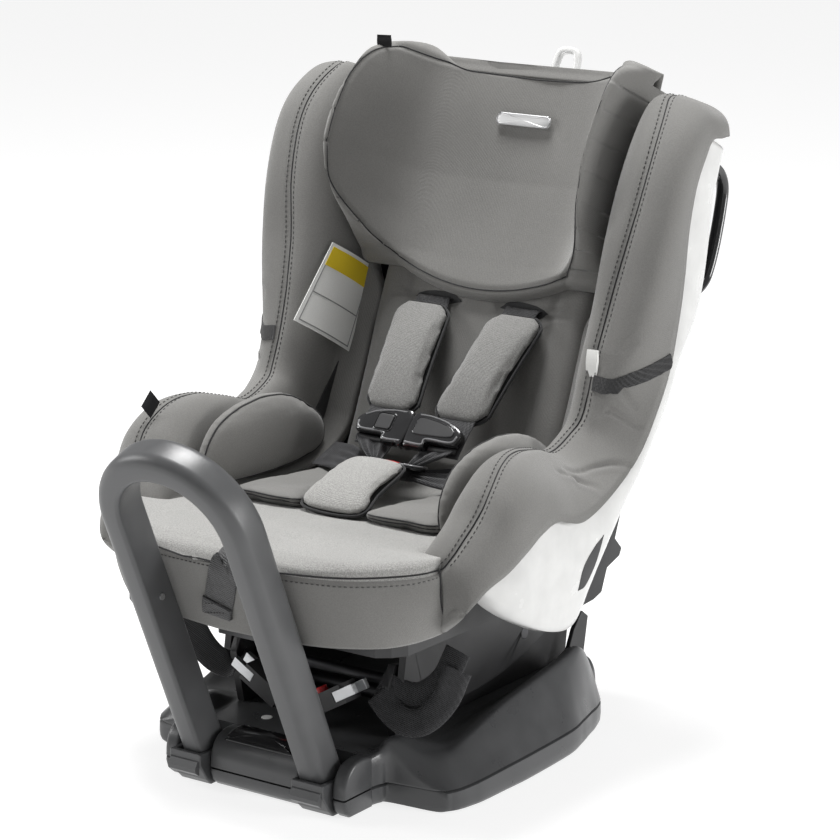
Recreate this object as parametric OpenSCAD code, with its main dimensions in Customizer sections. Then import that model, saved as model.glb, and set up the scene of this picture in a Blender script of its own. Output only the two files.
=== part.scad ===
// Convertible car seat: base with anti-rebound bar, reclining bucket seat, sliding headrest, harness.
// Frame: millimetres, +Z up, the seat faces -Y, origin on the floor under the middle of the base.

/* [Base] */
// Height of the lower tray
tray_h = 24; // [20:1:30]
// Height of the deck between the side wings
deck_h = 48; // [44:1:50]
// Half width of the wings at the floor
base_half_w = 182; // [176:1:186]
// Thickness of each recline rail
rail_t = 8; // [6:1:9]

/* [Anti-rebound bar] */
// Forward lean of the bar from vertical, in degrees
bar_lean = 23.2; // [22.5:0.1:24]
// Outer half width of the U
bar_half_w = 82; // [80:1:82]
// Width of the bar's section, seen from the front
bar_w = 26; // [22:1:28]
// Depth of the bar's section, front to back
bar_depth = 36; // [30:1:36]
// Length of the bar above its socket line
bar_reach = 344; // [320:1:350]

/* [Seat] */
// Lean of the backrest from vertical, in degrees
back_lean = 23; // [23:0.5:24]
// Outer half width of the padded wings
wing_half_w = 234; // [226:1:236]
// Half width of the shell between the padded wings
shell_half_w = 158; // [158:1:160]
// Wall of the plastic shell
shell_t = 12; // [8:1:12]

/* [Headrest] */
// Half width of the headrest over its side bolsters
headrest_half_w = 146; // [140:1:146]
// Height of the headrest along the backrest
headrest_h = 200; // [180:1:210]
// Radius of the two guide rods
rod_r = 6; // [5:0.5:6]

/* [Recline] */
// Radius of the slotted arc about the virtual hinge
arc_r = 345; // [344:1:346]
// Radius of the two steel axles that run in the slots
axle_r = 6; // [5:0.5:6]
// Recline travel, in degrees
recline_travel = 12; // [6:1:12]

/* [Harness] */
// Width of the harness webbing
web_w = 38; // [34:1:40]
// Thickness of the harness webbing
web_t = 1.6; // [1.2:0.2:2]

/* [Hidden] */
$fn = 48;
gap = 0.3;
// Virtual recline hinge, an X axis above the lap: [y, z]
hinge_yz = [-40, 430];
// Front corner of the bar's socket line: [y, z]
bar_foot = [-235, 32];
bar_stub = 26;
// Foot of the backrest's front surface: [y, z]
back_foot = [67, 240];
// Angles of the two axles about the hinge, from straight down towards the rear
axle_angles = [-11.7, 16.9];
axle_half_l = 104;
rail_in = 84;
plate_in = rail_in + rail_t + 4;
plate_t = 8;
shell_front = -230;
rear_line = [[shell_front, 190], [-110, 190], [-60, 200], [-20, 225], [50, 265], [110, 330], [160, 400], [190, 450],
    [215, 520], [223, 569]];
wing_top_line = [[226, 585], [208, 603], [186, 614], [163, 616], [133, 588], [111, 554], [91, 500], [77, 447],
    [64, 404], [50, 365], [37, 331], [23, 317], [-10, 306], [-43, 312], [-81, 315], [-112, 310], [-138, 297],
    [-155, 279], [-171, 262], [-186, 240]];
cover_edge = [[-198, 218], [-159, 231], [-101, 260], [-83, 264], [-49, 254], [-9, 258], [45, 285], [71, 304],
    [98, 343], [115, 375], [133, 458], [142, 522], [155, 555], [199, 573], [223, 569]];
side_shell_edge = [[216, 555], [200, 509], [184, 432], [170, 399], [141, 366], [95, 300], [44, 245], [4, 199],
    [-27, 161], [-45, 153], [-72, 157], [-108, 171], [-179, 210]];
shell_gap = shell_half_w - 9;
strap_x = 47;
// Line of the shoulder straps from the slots down to the chest clip: foot [y, z] and lean from vertical
strap_foot = [28, 293];
strap_lean = 43.6;
buckle_yz = [-12, 262];
clip_half_w = 60;
// Inner face of the headrest's side bolsters
bolster_in = 118.3;

module mirror_x() {
    children();
    mirror([1, 0, 0]) children();
}

// Extrudes an outline drawn as [y, z] points from x0 to x1
module side_plate(points, x0, x1) {
    translate([x0, 0, 0]) rotate([90, 0, 90]) linear_extrude(x1 - x0) polygon(points);
}

// Local frame of the backrest: +Z up along it, +Y behind its front surface
module on_back() {
    translate([0, back_foot[0], back_foot[1]]) rotate([-back_lean, 0, 0]) children();
}

// Local frame of the rebound bar: +Y along the legs, -Z towards the rear of its section
module on_bar() {
    translate([0, bar_foot[0], bar_foot[1]]) rotate([90 + bar_lean, 0, 0]) children();
}

// Local frame of the shoulder straps: +Z up along them, -Y in front of them
module on_straps() {
    translate([0, strap_foot[0], strap_foot[1]]) rotate([-strap_lean, 0, 0]) children();
}

// Part of a ring about the recline hinge, from x0 to x1, between angles measured from straight down
module hinge_ring(r, w, a0, a1, x0, x1) {
    translate([x0, hinge_yz[0], hinge_yz[1]]) rotate([0, 90, 0]) rotate([0, 0, a0])
        rotate_extrude(angle = a1 - a0, $fn = 96) translate([r - w / 2, 0]) square([w, x1 - x0]);
}

// Round bar parallel to X on the slotted arc
module arc_pin(a, r, x0, x1) {
    y = hinge_yz[0] + arc_r * sin(a);
    z = hinge_yz[1] - arc_r * cos(a);
    translate([x0, y, z]) rotate([0, 90, 0]) cylinder(r = r, h = x1 - x0);
}

// Points of an arc in the [y, z] plane
function arc_points(c, r, a0, a1, n) =
    [for (i = [0:n]) let (a = a0 + (a1 - a0) * i / n) [c[0] + r * sin(a), c[1] - r * cos(a)]];

// ---------------------------------------------------------------- base

module base_outline() {
    polygon([[-102, -188], [102, -188], [111, -165], [173, -163], [181, -97], [base_half_w, -2], [154, 123],
        [118, 150], [112, 176], [-112, 176], [-118, 150], [-154, 123], [-base_half_w, -2], [-181, -97],
        [-173, -163], [-111, -165]]);
}

pad_size = [34, 22, 2];
pad_places = [[86, -150], [-86, -150], [92, 120], [-92, 120]];
screw_places = [[60, -110], [-60, -110], [60, 95], [-60, 95]];
screw_r = 2.2;
screw_head_r = 4.5;

module base_tray() {
    color("#3d3e40") difference() {
        linear_extrude(tray_h) base_outline();
        for (p = pad_places)
            translate([p[0] - pad_size[0] / 2, p[1] - pad_size[1] / 2, -1]) cube(pad_size + [0, 0, 1]);
        for (p = screw_places) translate([p[0], p[1], -1]) {
            cylinder(r = screw_r + 0.2, h = tray_h + 2);
            cylinder(r = screw_head_r + 0.5, h = 6);
        }
    }
}

module base_pads() {
    color("#1d1d1d") for (p = pad_places)
        translate([p[0] - pad_size[0] / 2, p[1] - pad_size[1] / 2, 0]) cube(pad_size);
}

module base_screws() {
    color("silver") for (p = screw_places) translate([p[0], p[1], 2]) {
        cylinder(r = screw_head_r, h = 3);
        cylinder(r = screw_r, h = 36);
    }
}

wing_profile = [[-163, tray_h], [-150, 34], [-128, 58], [-105, 66], [84, 88], [100, 80], [128, 50], [141, tray_h]];

module base_cover() {
    color("#424345") difference() {
        union() {
            translate([-112, -187.5, tray_h]) cube([224, 363, deck_h - tray_h]);
            mirror_x() intersection() {
                side_plate(wing_profile, 112, base_half_w);
                translate([0, 200, 0]) rotate([90, 0, 0]) linear_extrude(400)
                    polygon([[112, tray_h], [base_half_w, tray_h], [base_half_w, 30], [158, 88], [148, 94], [112, 94]]);
                linear_extrude(100) base_outline();
            }
        }
        for (p = screw_places) translate([p[0], p[1], tray_h - 1]) cylinder(r = screw_r + 0.2, h = 16);
    }
}

cap_profile = [[-188, 0], [-188, 48], [-200, 51], [-214, 49], [-224, 42], [-229, 30], [-229, 14], [-222, 0]];

module front_cap() {
    color("#3d3e40") difference() {
        side_plate(cap_profile, -52, 52);
        translate([-43, -213, 49]) cube([86, 20, 3]);
    }
}

module cap_ends() {
    color("#3d3e40") mirror_x() side_plate(cap_profile, 88, 102);
}

module bar_sockets() {
    color("#3d3e40") mirror_x() difference() {
        side_plate([[-188, 0], [-188, 33], [-241, 33], [-241, 22], [-231, 6], [-225, 0]], 52, 88);
        on_bar() translate([bar_half_w - bar_w - 0.4, -bar_stub - 1, -bar_depth - 0.4])
            cube([bar_w + 0.8, 80, bar_depth + 0.8]);
    }
}

module name_plate() {
    color("#0c0c0d") translate([-42, -212, 49]) cube([84, 18, 1.6]);
}

module recline_rails() {
    rail_outline = concat(
        [[-135, deck_h], [150, deck_h], [161, 120]],
        arc_points(hinge_yz, arc_r - 20, 33, -17, 16),
        [[-146, 100]]);
    color("#333436") mirror_x() difference() {
        side_plate(rail_outline, rail_in, rail_in + rail_t);
        for (a = axle_angles) {
            hinge_ring(arc_r, 2 * axle_r + 1, a - 0.4, a + recline_travel + 0.4, rail_in - 1, rail_in + rail_t + 1);
            arc_pin(a - 0.4, axle_r + 0.5, rail_in - 1, rail_in + rail_t + 1);
            arc_pin(a + recline_travel + 0.4, axle_r + 0.5, rail_in - 1, rail_in + rail_t + 1);
        }
    }
}

module rear_tower() {
    color("#333436") {
        mirror_x() side_plate([[118, deck_h], [152, deck_h], [161, 92], [150, 100], [136, 84]], 107, 111.7);
        translate([-84, 152, deck_h]) cube([168, 10, 16]);
    }
}

module cross_tubes() {
    color("silver") for (p = [[-70, 62], [105, 62]])
        translate([-rail_in, p[0], p[1]]) rotate([0, 90, 0]) difference() {
            cylinder(r = 8, h = 2 * rail_in);
            translate([0, 0, -1]) cylinder(r = 6, h = 2 * rail_in + 2);
        }
}

// Lower-anchor connectors lie over the front of the deck, one each side, mouths up and outwards;
// in this frame +X runs along the right-hand connector to its mouth
module on_latch(side) {
    mirror([side < 0 ? 1 : 0, 0, 0]) translate([40, -158, 84]) rotate([0, -30, 0]) children();
}

module latch_housings() {
    color("#161617") for (side = [-1, 1]) on_latch(side) difference() {
        translate([-24, -12, -9]) cube([44, 24, 18]);
        translate([-12, 0, 3]) cylinder(r = 7.4, h = 10);
        translate([8, -14, -5]) cube([20, 28, 10]);
    }
}

module latch_hooks() {
    color("#b4b6b8") for (side = [-1, 1]) on_latch(side) difference() {
        translate([8, -11.5, -5]) cube([26, 23, 10]);
        translate([20, -6, -6]) cube([30, 12, 12]);
    }
}

module latch_straps() {
    color("#1b1b1c") for (side = [-1, 1]) on_latch(side)
        translate([-42, -11, -1]) cube([18, 22, 2]);
}

module latch_button(side) {
    color("#c4171c") on_latch(side) translate([-12, 0, 7.2]) cylinder(r = 7, h = 7);
}

module latch_button_left() {
    latch_button(-1);
}

module latch_button_right() {
    latch_button(1);
}

// ---------------------------------------------------------------- anti-rebound bar

module bar_half_disc(half_w, low) {
    translate([-half_w, low]) square([2 * half_w, bar_reach - bar_half_w - low]);
    translate([0, bar_reach - bar_half_w]) circle(half_w, $fn = 96);
}

module rebound_bar() {
    color("#4a4b4d") on_bar() translate([0, 0, -bar_depth]) linear_extrude(bar_depth) difference() {
        bar_half_disc(bar_half_w, -bar_stub);
        bar_half_disc(bar_half_w - bar_w, -bar_stub - 1);
    }
}

module bar_rivets() {
    color("silver") mirror_x() on_bar() translate([bar_half_w - bar_w - 1.4, 170, -bar_depth / 2])
        rotate([0, 90, 0]) cylinder(r = 3, h = 1.4);
}

// ---------------------------------------------------------------- seat

// Rounded front of the seat in plan, set in from the cover by a distance
module nose_plan(inset) {
    linear_extrude(700) offset(delta = -inset)
        polygon([[-60, -279], [60, -279], [105, -272], [138, -258], [166, -236], [184, -208], [190, -180],
            [240, -180], [240, 320], [-240, 320], [-240, -180], [-190, -180], [-184, -208], [-166, -236],
            [-138, -258], [-105, -272]]);
}

module seat_shell() {
    wall_outline = concat(rear_line,
        [[262, 566], [284, 566], [126, 193], [60, 164], [-60, 158], [shell_front, 160]]);
    color("#2b2c2e") intersection() {
        union() {
            side_plate([[shell_front, 160], [-60, 158], [60, 164], [126, 193], [284, 566], [271, 566], [122, 216],
                [105, 192], [50, 176], [-60, 158 + shell_t], [shell_front, 160 + shell_t]], -shell_gap, shell_gap);
            mirror_x() side_plate(wall_outline, shell_gap, shell_half_w);
        }
        nose_plan(22);
    }
}

module side_shell() {
    outline = concat(cover_edge, side_shell_edge);
    color("#eeeeec") difference() {
        side_plate(outline, shell_half_w + gap, 224);
        translate([shell_half_w - 1, 0, 0]) rotate([90, 0, 90]) linear_extrude(216 - shell_half_w) offset(delta = -9)
            polygon(outline);
    }
}

module side_shell_right() {
    side_shell();
}

module side_shell_left() {
    mirror([1, 0, 0]) side_shell();
}

module carriage_plates() {
    plate_outline = concat(
        [[-130, 157], [-140, 100]],
        arc_points(hinge_yz, arc_r + 20, -16, 24, 12),
        [[184, 101], [198, 105], [208, 128], [231, 135], [235, 142], [222, 155], [246, 213], [250, 280],
            [205, 290], [150, 240], [127, 192], [60, 163], [-60, 157.5]]);
    color("#39393b") {
        mirror_x() difference() {
            side_plate(plate_outline, plate_in, plate_in + plate_t);
            for (a = axle_angles) arc_pin(a, axle_r + 0.05, plate_in - 1, plate_in + plate_t + 1);
        }
        translate([-plate_in, 224, 170]) cube([2 * plate_in, 8, 60]);
    }
}

module recline_axles() {
    color("silver") for (a = axle_angles) arc_pin(a, axle_r, -axle_half_l, axle_half_l);
}

// Pull handle for the recline lock, under the front lip of the shell
module recline_handle() {
    color("#2a2b2c") difference() {
        translate([-42, -226, 148.5]) cube([84, 46, 9]);
        translate([-33, -218, 140]) cube([66, 22, 30]);
    }
}

module wing() {
    color("#85857f") {
        side_plate(concat(rear_line, wing_top_line), shell_gap + gap, shell_half_w);
        side_plate(concat(cover_edge, wing_top_line), shell_half_w, wing_half_w);
    }
}

module wing_right() {
    wing();
}

module wing_left() {
    mirror([1, 0, 0]) wing();
}

module seat_cushion() {
    color("#94948f") intersection() {
        nose_plan(0);
        difference() {
            union() {
                side_plate([[-230.3, 172.5], [-230.3, 161], [-247, 161], [-258, 190], [-274, 228], [-271, 238],
                    [-255, 247], [-150, 240], [0, 224], [50, 230], [62, 222], [74, 196], [50, 176.5],
                    [-60, 170.5]], -shell_gap + gap, shell_gap - gap);
                mirror_x() side_plate([[-232.5, 170], [-244, 170], [-256, 190], [-262, 222], [-250, 238],
                    [-232.5, 238]], shell_gap - gap, shell_half_w + 1);
                mirror_x() side_plate([[-199, 200], [-215, 178], [-240, 170], [-256, 190], [-262, 222],
                    [-250, 238], [-199, 238]], shell_half_w + 1, 188);
            }
            translate([-25, -256, 232]) cube([50, 34, 30]);
        }
    }
}

module insert_half() {
    color("#8f8f8a") side_plate([[-118, 237], [0, 224.6], [50, 230.6], [57, 233], [60, 246], [0, 241], [-100, 252],
        [-116, 250]], 36, 116);
}

module insert_right() {
    insert_half();
}

module insert_left() {
    mirror([1, 0, 0]) insert_half();
}

module hip_bolster() {
    color("#8b8b86") translate([118, -32, 286]) rotate([90, 0, 90]) linear_extrude(31) scale([2.4, 1]) circle(42);
}

module hip_bolster_right() {
    hip_bolster();
}

module hip_bolster_left() {
    mirror([1, 0, 0]) hip_bolster();
}

module back_foam() {
    color("#77777a") on_back() translate([-118, 21, 6]) cube([236, 14, 324]);
}

module back_pad() {
    color("#8d8d88") on_back() translate([-118, 0, 8]) cube([236, 13.6, 122]);
}

// D-shaped grips behind the side shells
module rear_grips() {
    color("#0f0f10") mirror_x() side_plate([[170, 399], [243, 419], [253, 433], [276, 505], [272, 520], [258, 529],
        [216, 555], [200, 509], [252, 514], [258, 506], [240, 442], [234, 436], [184, 432]], 184, 198);
}

module elastic_bands() {
    color("#1f1f20") mirror_x() side_plate([[50, 366], [46, 352], [95, 352], [102, 366]], wing_half_w, 237);
}

// Blank label and blank tags sewn to the cover
module seat_trim() {
    color("#dadad6") translate([-shell_gap + 0.4 - gap, 0, 0])
        side_plate([[106, 440], [150, 415], [120, 345], [57, 378]], 0, 0.8);
    color("#161617") {
        translate([-196, -136, 304.5]) cube([14, 10, 1.2]);
        translate([182, 46, 371]) cube([1.2, 6, 18]);
    }
}

module guide_bushings() {
    color("#2b2c2e") mirror_x() on_back() difference() {
        translate([42, 36, 200]) cube([36, 23.9, 30]);
        translate([60, 46, 199]) cylinder(r = rod_r + 0.1, h = 32);
    }
}

// ---------------------------------------------------------------- harness adjuster

module adjuster_housing() {
    color("#1c1c1d") difference() {
        translate([-24.5, -255.5, 232.5]) cube([49, 33, 9]);
        translate([-15, -248, 235]) cube([30, 18, 10]);
    }
}

module harness_release() {
    color("#b0b2b4") translate([-14.5, -247.5, 239.6]) cube([29, 17, 4]);
}

module strap_tail() {
    color("#4e4f50") side_plate([[-275.5, 232], [-278, 232], [-279, 178], [-276.5, 178]], -20, 12);
}

// ---------------------------------------------------------------- harness

module crotch_pad() {
    color("#a0a09b") side_plate([[-122, 251], [-50, 249.5], [-32, 256], [-33, 281], [-46, 280], [-118, 262]], -33, 33);
}

module on_buckle() {
    translate([0, buckle_yz[0], buckle_yz[1]]) rotate([-22, 0, 0]) children();
}

module buckle() {
    color("#121213") on_buckle() difference() {
        translate([-22, -14, -10]) cube([44, 26, 16]);
        translate([-10.5, -10.5, 0]) cube([21, 17, 12]);
        for (side = [-1, 1]) translate([side * 14 - 6.5, 2, -4.2]) cube([13, 12, 4.4]);
    }
}

module buckle_button() {
    color("#c4171c") on_buckle() translate([-10, -10, 4.8]) cube([20, 16, 3.2]);
}

module buckle_tongues() {
    color("#161617") on_buckle() for (side = [-1, 1])
        translate([side * 14 - 6, 2.4, -4]) cube([12, 18, 4]);
}

module lap_straps() {
    color("#1b1b1c") mirror_x() side_plate([[10, 252], [52, 247.5], [52, 249.3], [10, 253.8]], 24, 112);
}

// Webbing between the shoulder pads and the chest clip
module shoulder_straps() {
    color("#1b1b1c") mirror_x() on_straps()
        translate([strap_x - 6 - web_w / 2, 0, -30]) cube([web_w, web_t, 41]);
}

module shoulder_pad(side) {
    color("#a3a39e") on_straps() translate([side * strap_x, 0, 13])
        translate([-30, -8, 0]) cube([60, 16, 124]);
}

module shoulder_pad_left() {
    shoulder_pad(-1);
}

module shoulder_pad_right() {
    shoulder_pad(1);
}

// Webbing from the shoulder pads through the slots of the headrest's pad
module upper_straps() {
    color("#1b1b1c") mirror_x() on_back() translate([52 - web_w / 2, -3, 168]) cube([web_w, 16, web_t]);
}

module chest_clip() {
    color("#0f0f10") on_straps() difference() {
        translate([-clip_half_w, -14, -22]) cube([2 * clip_half_w, 13.6, 32]);
        translate([-36, -14.5, -14]) cube([17, 6, 16]);
    }
}

module chest_clip_button() {
    color("#1a1a1b") on_straps() translate([-35.6, -15, -13.6]) cube([16.2, 3, 15.2]);
}

// ---------------------------------------------------------------- headrest

module headrest_board() {
    color("#2b2c2e") on_back() translate([-116, 14, 60]) cube([232, 6, 340]);
}

module headrest_cushion() {
    color("#85857f") on_back() translate([-118, -10, 190]) cube([236, 23.6, headrest_h + 8]);
}

// Ear-shaped side bolsters, drawn in the backrest's [depth, height] plane
module headrest_wings() {
    color("#85857f") mirror_x() on_back() rotate([90, 0, 90]) translate([0, 0, bolster_in])
        linear_extrude(headrest_half_w - bolster_in)
            polygon([[13.6, 205], [-16, 205], [-56, 228], [-81, 243], [-96, 258], [-105, 282], [-108, 306],
                [-105, 330], [-94, 367], [-70, 405], [13.6, 405]]);
}

module headrest_slot_pad() {
    color("#8d8d88") on_back() difference() {
        translate([-118, 0, 130.6]) cube([236, 13.6, 59]);
        mirror_x() translate([30, -1, 164]) cube([44, 16, 9]);
    }
}

module headrest_badge() {
    color("#b9b9b9") on_back() translate([8, -10, 352]) rotate([90, 0, 0]) linear_extrude(1.4) union() {
        translate([-26, -6]) square([52, 12]);
        for (side = [-1, 1]) translate([side * 26, 0]) circle(6);
    }
}

module headrest_rods() {
    color("silver") on_back() {
        mirror_x() translate([60, 46, 40]) cylinder(r = rod_r, h = 345);
        translate([-75, 20.2, 385.2]) cube([150, 32, 12]);
    }
}

module headrest_handle() {
    color("#f2f2f0") on_back() translate([0, 49, 399]) difference() {
        union() {
            translate([-18, -5, 0]) cube([36, 9, 28]);
            translate([0, 4, 28]) rotate([90, 0, 0]) cylinder(r = 18, h = 9);
        }
        translate([-9, -6, 14]) cube([18, 11, 14]);
        translate([0, 5, 28]) rotate([90, 0, 0]) cylinder(r = 9, h = 11);
    }
}

base_tray();
base_pads();
base_screws();
base_cover();
front_cap();
cap_ends();
bar_sockets();
name_plate();
recline_rails();
rear_tower();
cross_tubes();
latch_housings();
latch_hooks();
latch_straps();
latch_button_left();
latch_button_right();
rebound_bar();
bar_rivets();
seat_shell();
side_shell_left();
side_shell_right();
carriage_plates();
recline_axles();
recline_handle();
wing_left();
wing_right();
seat_cushion();
insert_left();
insert_right();
hip_bolster_left();
hip_bolster_right();
back_foam();
back_pad();
rear_grips();
elastic_bands();
seat_trim();
guide_bushings();
adjuster_housing();
harness_release();
strap_tail();
crotch_pad();
buckle();
buckle_button();
buckle_tongues();
lap_straps();
shoulder_straps();
headrest_board();
headrest_cushion();
headrest_wings();
headrest_slot_pad();
headrest_badge();
headrest_rods();
headrest_handle();
shoulder_pad_left();
shoulder_pad_right();
upper_straps();
chest_clip();
chest_clip_button();
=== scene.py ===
"""Looks of the convertible car seat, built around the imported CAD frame.

Lengths in the tables and functions below are millimetres in the row frame (+Z up, the seat faces -Y);
make_mesh() turns them into metres.
"""

import math

import bmesh
import bpy
import numpy as np
from mathutils import Matrix, Vector, kdtree, noise
from mathutils.bvhtree import BVHTree


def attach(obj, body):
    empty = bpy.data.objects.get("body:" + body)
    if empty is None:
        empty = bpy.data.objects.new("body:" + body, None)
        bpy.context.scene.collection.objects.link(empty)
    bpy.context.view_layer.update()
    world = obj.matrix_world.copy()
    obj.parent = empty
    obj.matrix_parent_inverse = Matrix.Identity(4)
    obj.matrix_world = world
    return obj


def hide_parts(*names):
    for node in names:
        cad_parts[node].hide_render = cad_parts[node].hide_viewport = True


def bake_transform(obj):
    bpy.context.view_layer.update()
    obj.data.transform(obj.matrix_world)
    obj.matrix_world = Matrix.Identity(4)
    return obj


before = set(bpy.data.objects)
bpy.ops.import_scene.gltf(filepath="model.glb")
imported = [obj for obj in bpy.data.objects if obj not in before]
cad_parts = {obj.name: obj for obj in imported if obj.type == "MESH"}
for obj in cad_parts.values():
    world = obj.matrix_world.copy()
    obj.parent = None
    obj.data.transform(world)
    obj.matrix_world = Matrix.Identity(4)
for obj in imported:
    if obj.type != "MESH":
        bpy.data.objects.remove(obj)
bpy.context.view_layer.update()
MM = 0.001

# ------------------------------------------------------------------ camera, light, floor

CAMERA_AZIMUTH = 35.26
CAMERA_ELEVATION = 14.19
CAMERA_DISTANCE = 2.942
CAMERA_LENS = 133.93
CAMERA_TARGET = Vector((0, 0, 0.330))
CAMERA_RIGHT = 0.0193
CAMERA_DOWN = 0.0226


def add_camera():
    azimuth, elevation = math.radians(CAMERA_AZIMUTH), math.radians(CAMERA_ELEVATION)
    back = Vector((math.sin(azimuth) * math.cos(elevation), -math.cos(azimuth) * math.cos(elevation),
                   math.sin(elevation)))
    right = Vector((math.cos(azimuth), math.sin(azimuth), 0))
    up = back.cross(right)
    data = bpy.data.cameras.new("camera")
    data.lens = CAMERA_LENS
    data.sensor_width = 36
    data.clip_end = 50
    camera = bpy.data.objects.new("camera", data)
    bpy.context.scene.collection.objects.link(camera)
    place = CAMERA_TARGET + back * CAMERA_DISTANCE + right * CAMERA_RIGHT - up * CAMERA_DOWN
    rotation = Matrix((right, up, back)).transposed()
    camera.matrix_world = Matrix.Translation(place) @ rotation.to_4x4()
    bpy.context.scene.camera = camera


def add_area_light(name, place, aim, size, power):
    data = bpy.data.lights.new(name, "AREA")
    data.shape = "DISK"
    data.size = size
    data.energy = power
    light = bpy.data.objects.new(name, data)
    bpy.context.scene.collection.objects.link(light)
    direction = Vector(aim) - Vector(place)
    light.rotation_euler = direction.to_track_quat("-Z", "Y").to_euler()
    light.location = place


def add_light():
    world = bpy.data.worlds.new("studio")
    bpy.context.scene.world = world
    world.use_nodes = True
    world.node_tree.nodes["Background"].inputs["Color"].default_value = (1, 1, 1, 1)
    world.node_tree.nodes["Background"].inputs["Strength"].default_value = 0.30
    add_area_light("top_light", (-0.4, 0.3, 2.9), (0, 0, 0.3), 1.2, 106)
    add_area_light("right_light", (2.6, 0.5, 0.8), (0, 0, 0.25), 1.0, 36)
    add_area_light("left_light", (-2.7, -1.4, 1.5), (0, 0, 0.3), 1.1, 38)
    bpy.context.scene.view_settings.view_transform = "Standard"


def add_floor():
    mesh = bpy.data.meshes.new("floor")
    size = 30
    corners = [(-size, -size, -0.0005), (size, -size, -0.0005), (size, size, -0.0005), (-size, size, -0.0005)]
    mesh.from_pydata(corners, [], [(0, 1, 2, 3)])
    floor = bpy.data.objects.new("floor", mesh)
    bpy.context.scene.collection.objects.link(floor)
    material = bpy.data.materials.new("floor_white")
    material.use_nodes = True
    shader = material.node_tree.nodes["Principled BSDF"]
    shader.inputs["Base Color"].default_value = (0.34, 0.34, 0.34, 1)
    shader.inputs["Roughness"].default_value = 0.75
    shader.inputs["Emission Color"].default_value = (1, 1, 1, 1)
    shader.inputs["Emission Strength"].default_value = 0.78
    mesh.materials.append(material)


# ------------------------------------------------------------------ materials

class Shader:
    """A principled material with short calls for the procedural nodes used here."""

    def __init__(self, name, roughness, **constants):
        self.material = bpy.data.materials.new(name)
        self.material.use_nodes = True
        self.tree = self.material.node_tree
        self.bsdf = self.tree.nodes["Principled BSDF"]
        self.bsdf.inputs["Roughness"].default_value = roughness
        for socket, value in constants.items():
            self.bsdf.inputs[socket.replace("_", " ")].default_value = value
        self.place = self.node("ShaderNodeTexCoord").outputs["Object"]

    def node(self, kind, **settings):
        made = self.tree.nodes.new(kind)
        for key, value in settings.items():
            setattr(made, key, value)
        return made

    def link(self, source, target):
        self.tree.links.new(source, target)

    def noise(self, scale, detail=2.0, stretch=(1, 1, 1)):
        """Noise whose grains are about 1/scale metres, stretched along the axes."""
        mapping = self.node("ShaderNodeMapping")
        mapping.inputs["Scale"].default_value = stretch
        self.link(self.place, mapping.inputs["Vector"])
        texture = self.node("ShaderNodeTexNoise")
        texture.inputs["Scale"].default_value = scale
        texture.inputs["Detail"].default_value = detail
        self.link(mapping.outputs["Vector"], texture.inputs["Vector"])
        return texture.outputs["Fac"]

    def threads(self, direction, pitch):
        """Bands across a direction, one every pitch millimetres."""
        dot = self.node("ShaderNodeVectorMath", operation="DOT_PRODUCT")
        self.link(self.place, dot.inputs[0])
        dot.inputs[1].default_value = Vector(direction).normalized() * (2 * math.pi / (pitch * MM))
        sine = self.node("ShaderNodeMath", operation="SINE")
        self.link(dot.outputs["Value"], sine.inputs[0])
        return sine.outputs[0]

    def math(self, operation, a, b):
        made = self.node("ShaderNodeMath", operation=operation)
        for socket, value in zip(made.inputs, (a, b)):
            if isinstance(value, (int, float)):
                socket.default_value = value
            else:
                self.link(value, socket)
        return made.outputs[0]

    def ramp(self, factor, stops):
        """Colour ramp; stops are (position, grey or colour)."""
        made = self.node("ShaderNodeValToRGB")
        elements = made.color_ramp.elements
        while len(elements) < len(stops):
            elements.new(0.5)
        for element, (position, color) in zip(elements, stops):
            element.position = position
            element.color = color if len(color) == 4 else (*color, 1)
        self.link(factor, made.inputs["Fac"])
        return made.outputs["Color"]

    def mix(self, factor, a, b, blend="MIX"):
        made = self.node("ShaderNodeMix", data_type="RGBA", blend_type=blend)
        for socket, value in ((made.inputs[0], factor), (made.inputs[6], a), (made.inputs[7], b)):
            if isinstance(value, (int, float, tuple)):
                socket.default_value = value
            else:
                self.link(value, socket)
        return made.outputs[2]

    def color(self, output):
        self.link(output, self.bsdf.inputs["Base Color"])

    def roughness(self, output):
        self.link(output, self.bsdf.inputs["Roughness"])

    def bump(self, height, distance, strength=1.0):
        made = self.node("ShaderNodeBump")
        made.inputs["Distance"].default_value = distance * MM
        made.inputs["Strength"].default_value = strength
        self.link(height, made.inputs["Height"])
        self.link(made.outputs["Normal"], self.bsdf.inputs["Normal"])


def tone(color, factor):
    return tuple(channel * factor for channel in color)


# Two directions whose bands cross on any face, whichever way it points
WARP = (1, -1, 0.15)
WEFT = (1, 1, -1.6)


def fabric(name, color, thread=0.9, melange=0.12, sheen=0.25, relief=0.12):
    """Woven or knitted cloth: crossing threads, yarn flecks, and a slow change of tone."""
    s = Shader(name, 0.92, Sheen_Weight=sheen, Sheen_Roughness=0.45, Specular_IOR_Level=0.2)
    weave = s.math("MULTIPLY", s.threads(WARP, thread), s.threads(WEFT, thread * 1.15))
    flecks = s.noise(900, 3.0)
    slow = s.noise(14, 2.0)
    yarn = s.ramp(flecks, [(0.3, tone(color, 1 - melange)), (0.7, tone(color, 1 + melange))])
    shade = s.ramp(slow, [(0.3, (0.93, 0.93, 0.93)), (0.7, (1.0, 1.0, 1.0))])
    s.color(s.mix(1.0, yarn, shade, "MULTIPLY"))
    grain = s.math("ADD", s.math("MULTIPLY", weave, 0.5), s.math("MULTIPLY", flecks, 1.2))
    s.bump(grain, relief)
    s.roughness(s.ramp(flecks, [(0.2, (0.82, 0.82, 0.82)), (0.8, (0.97, 0.97, 0.97))]))
    return s.material


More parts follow.
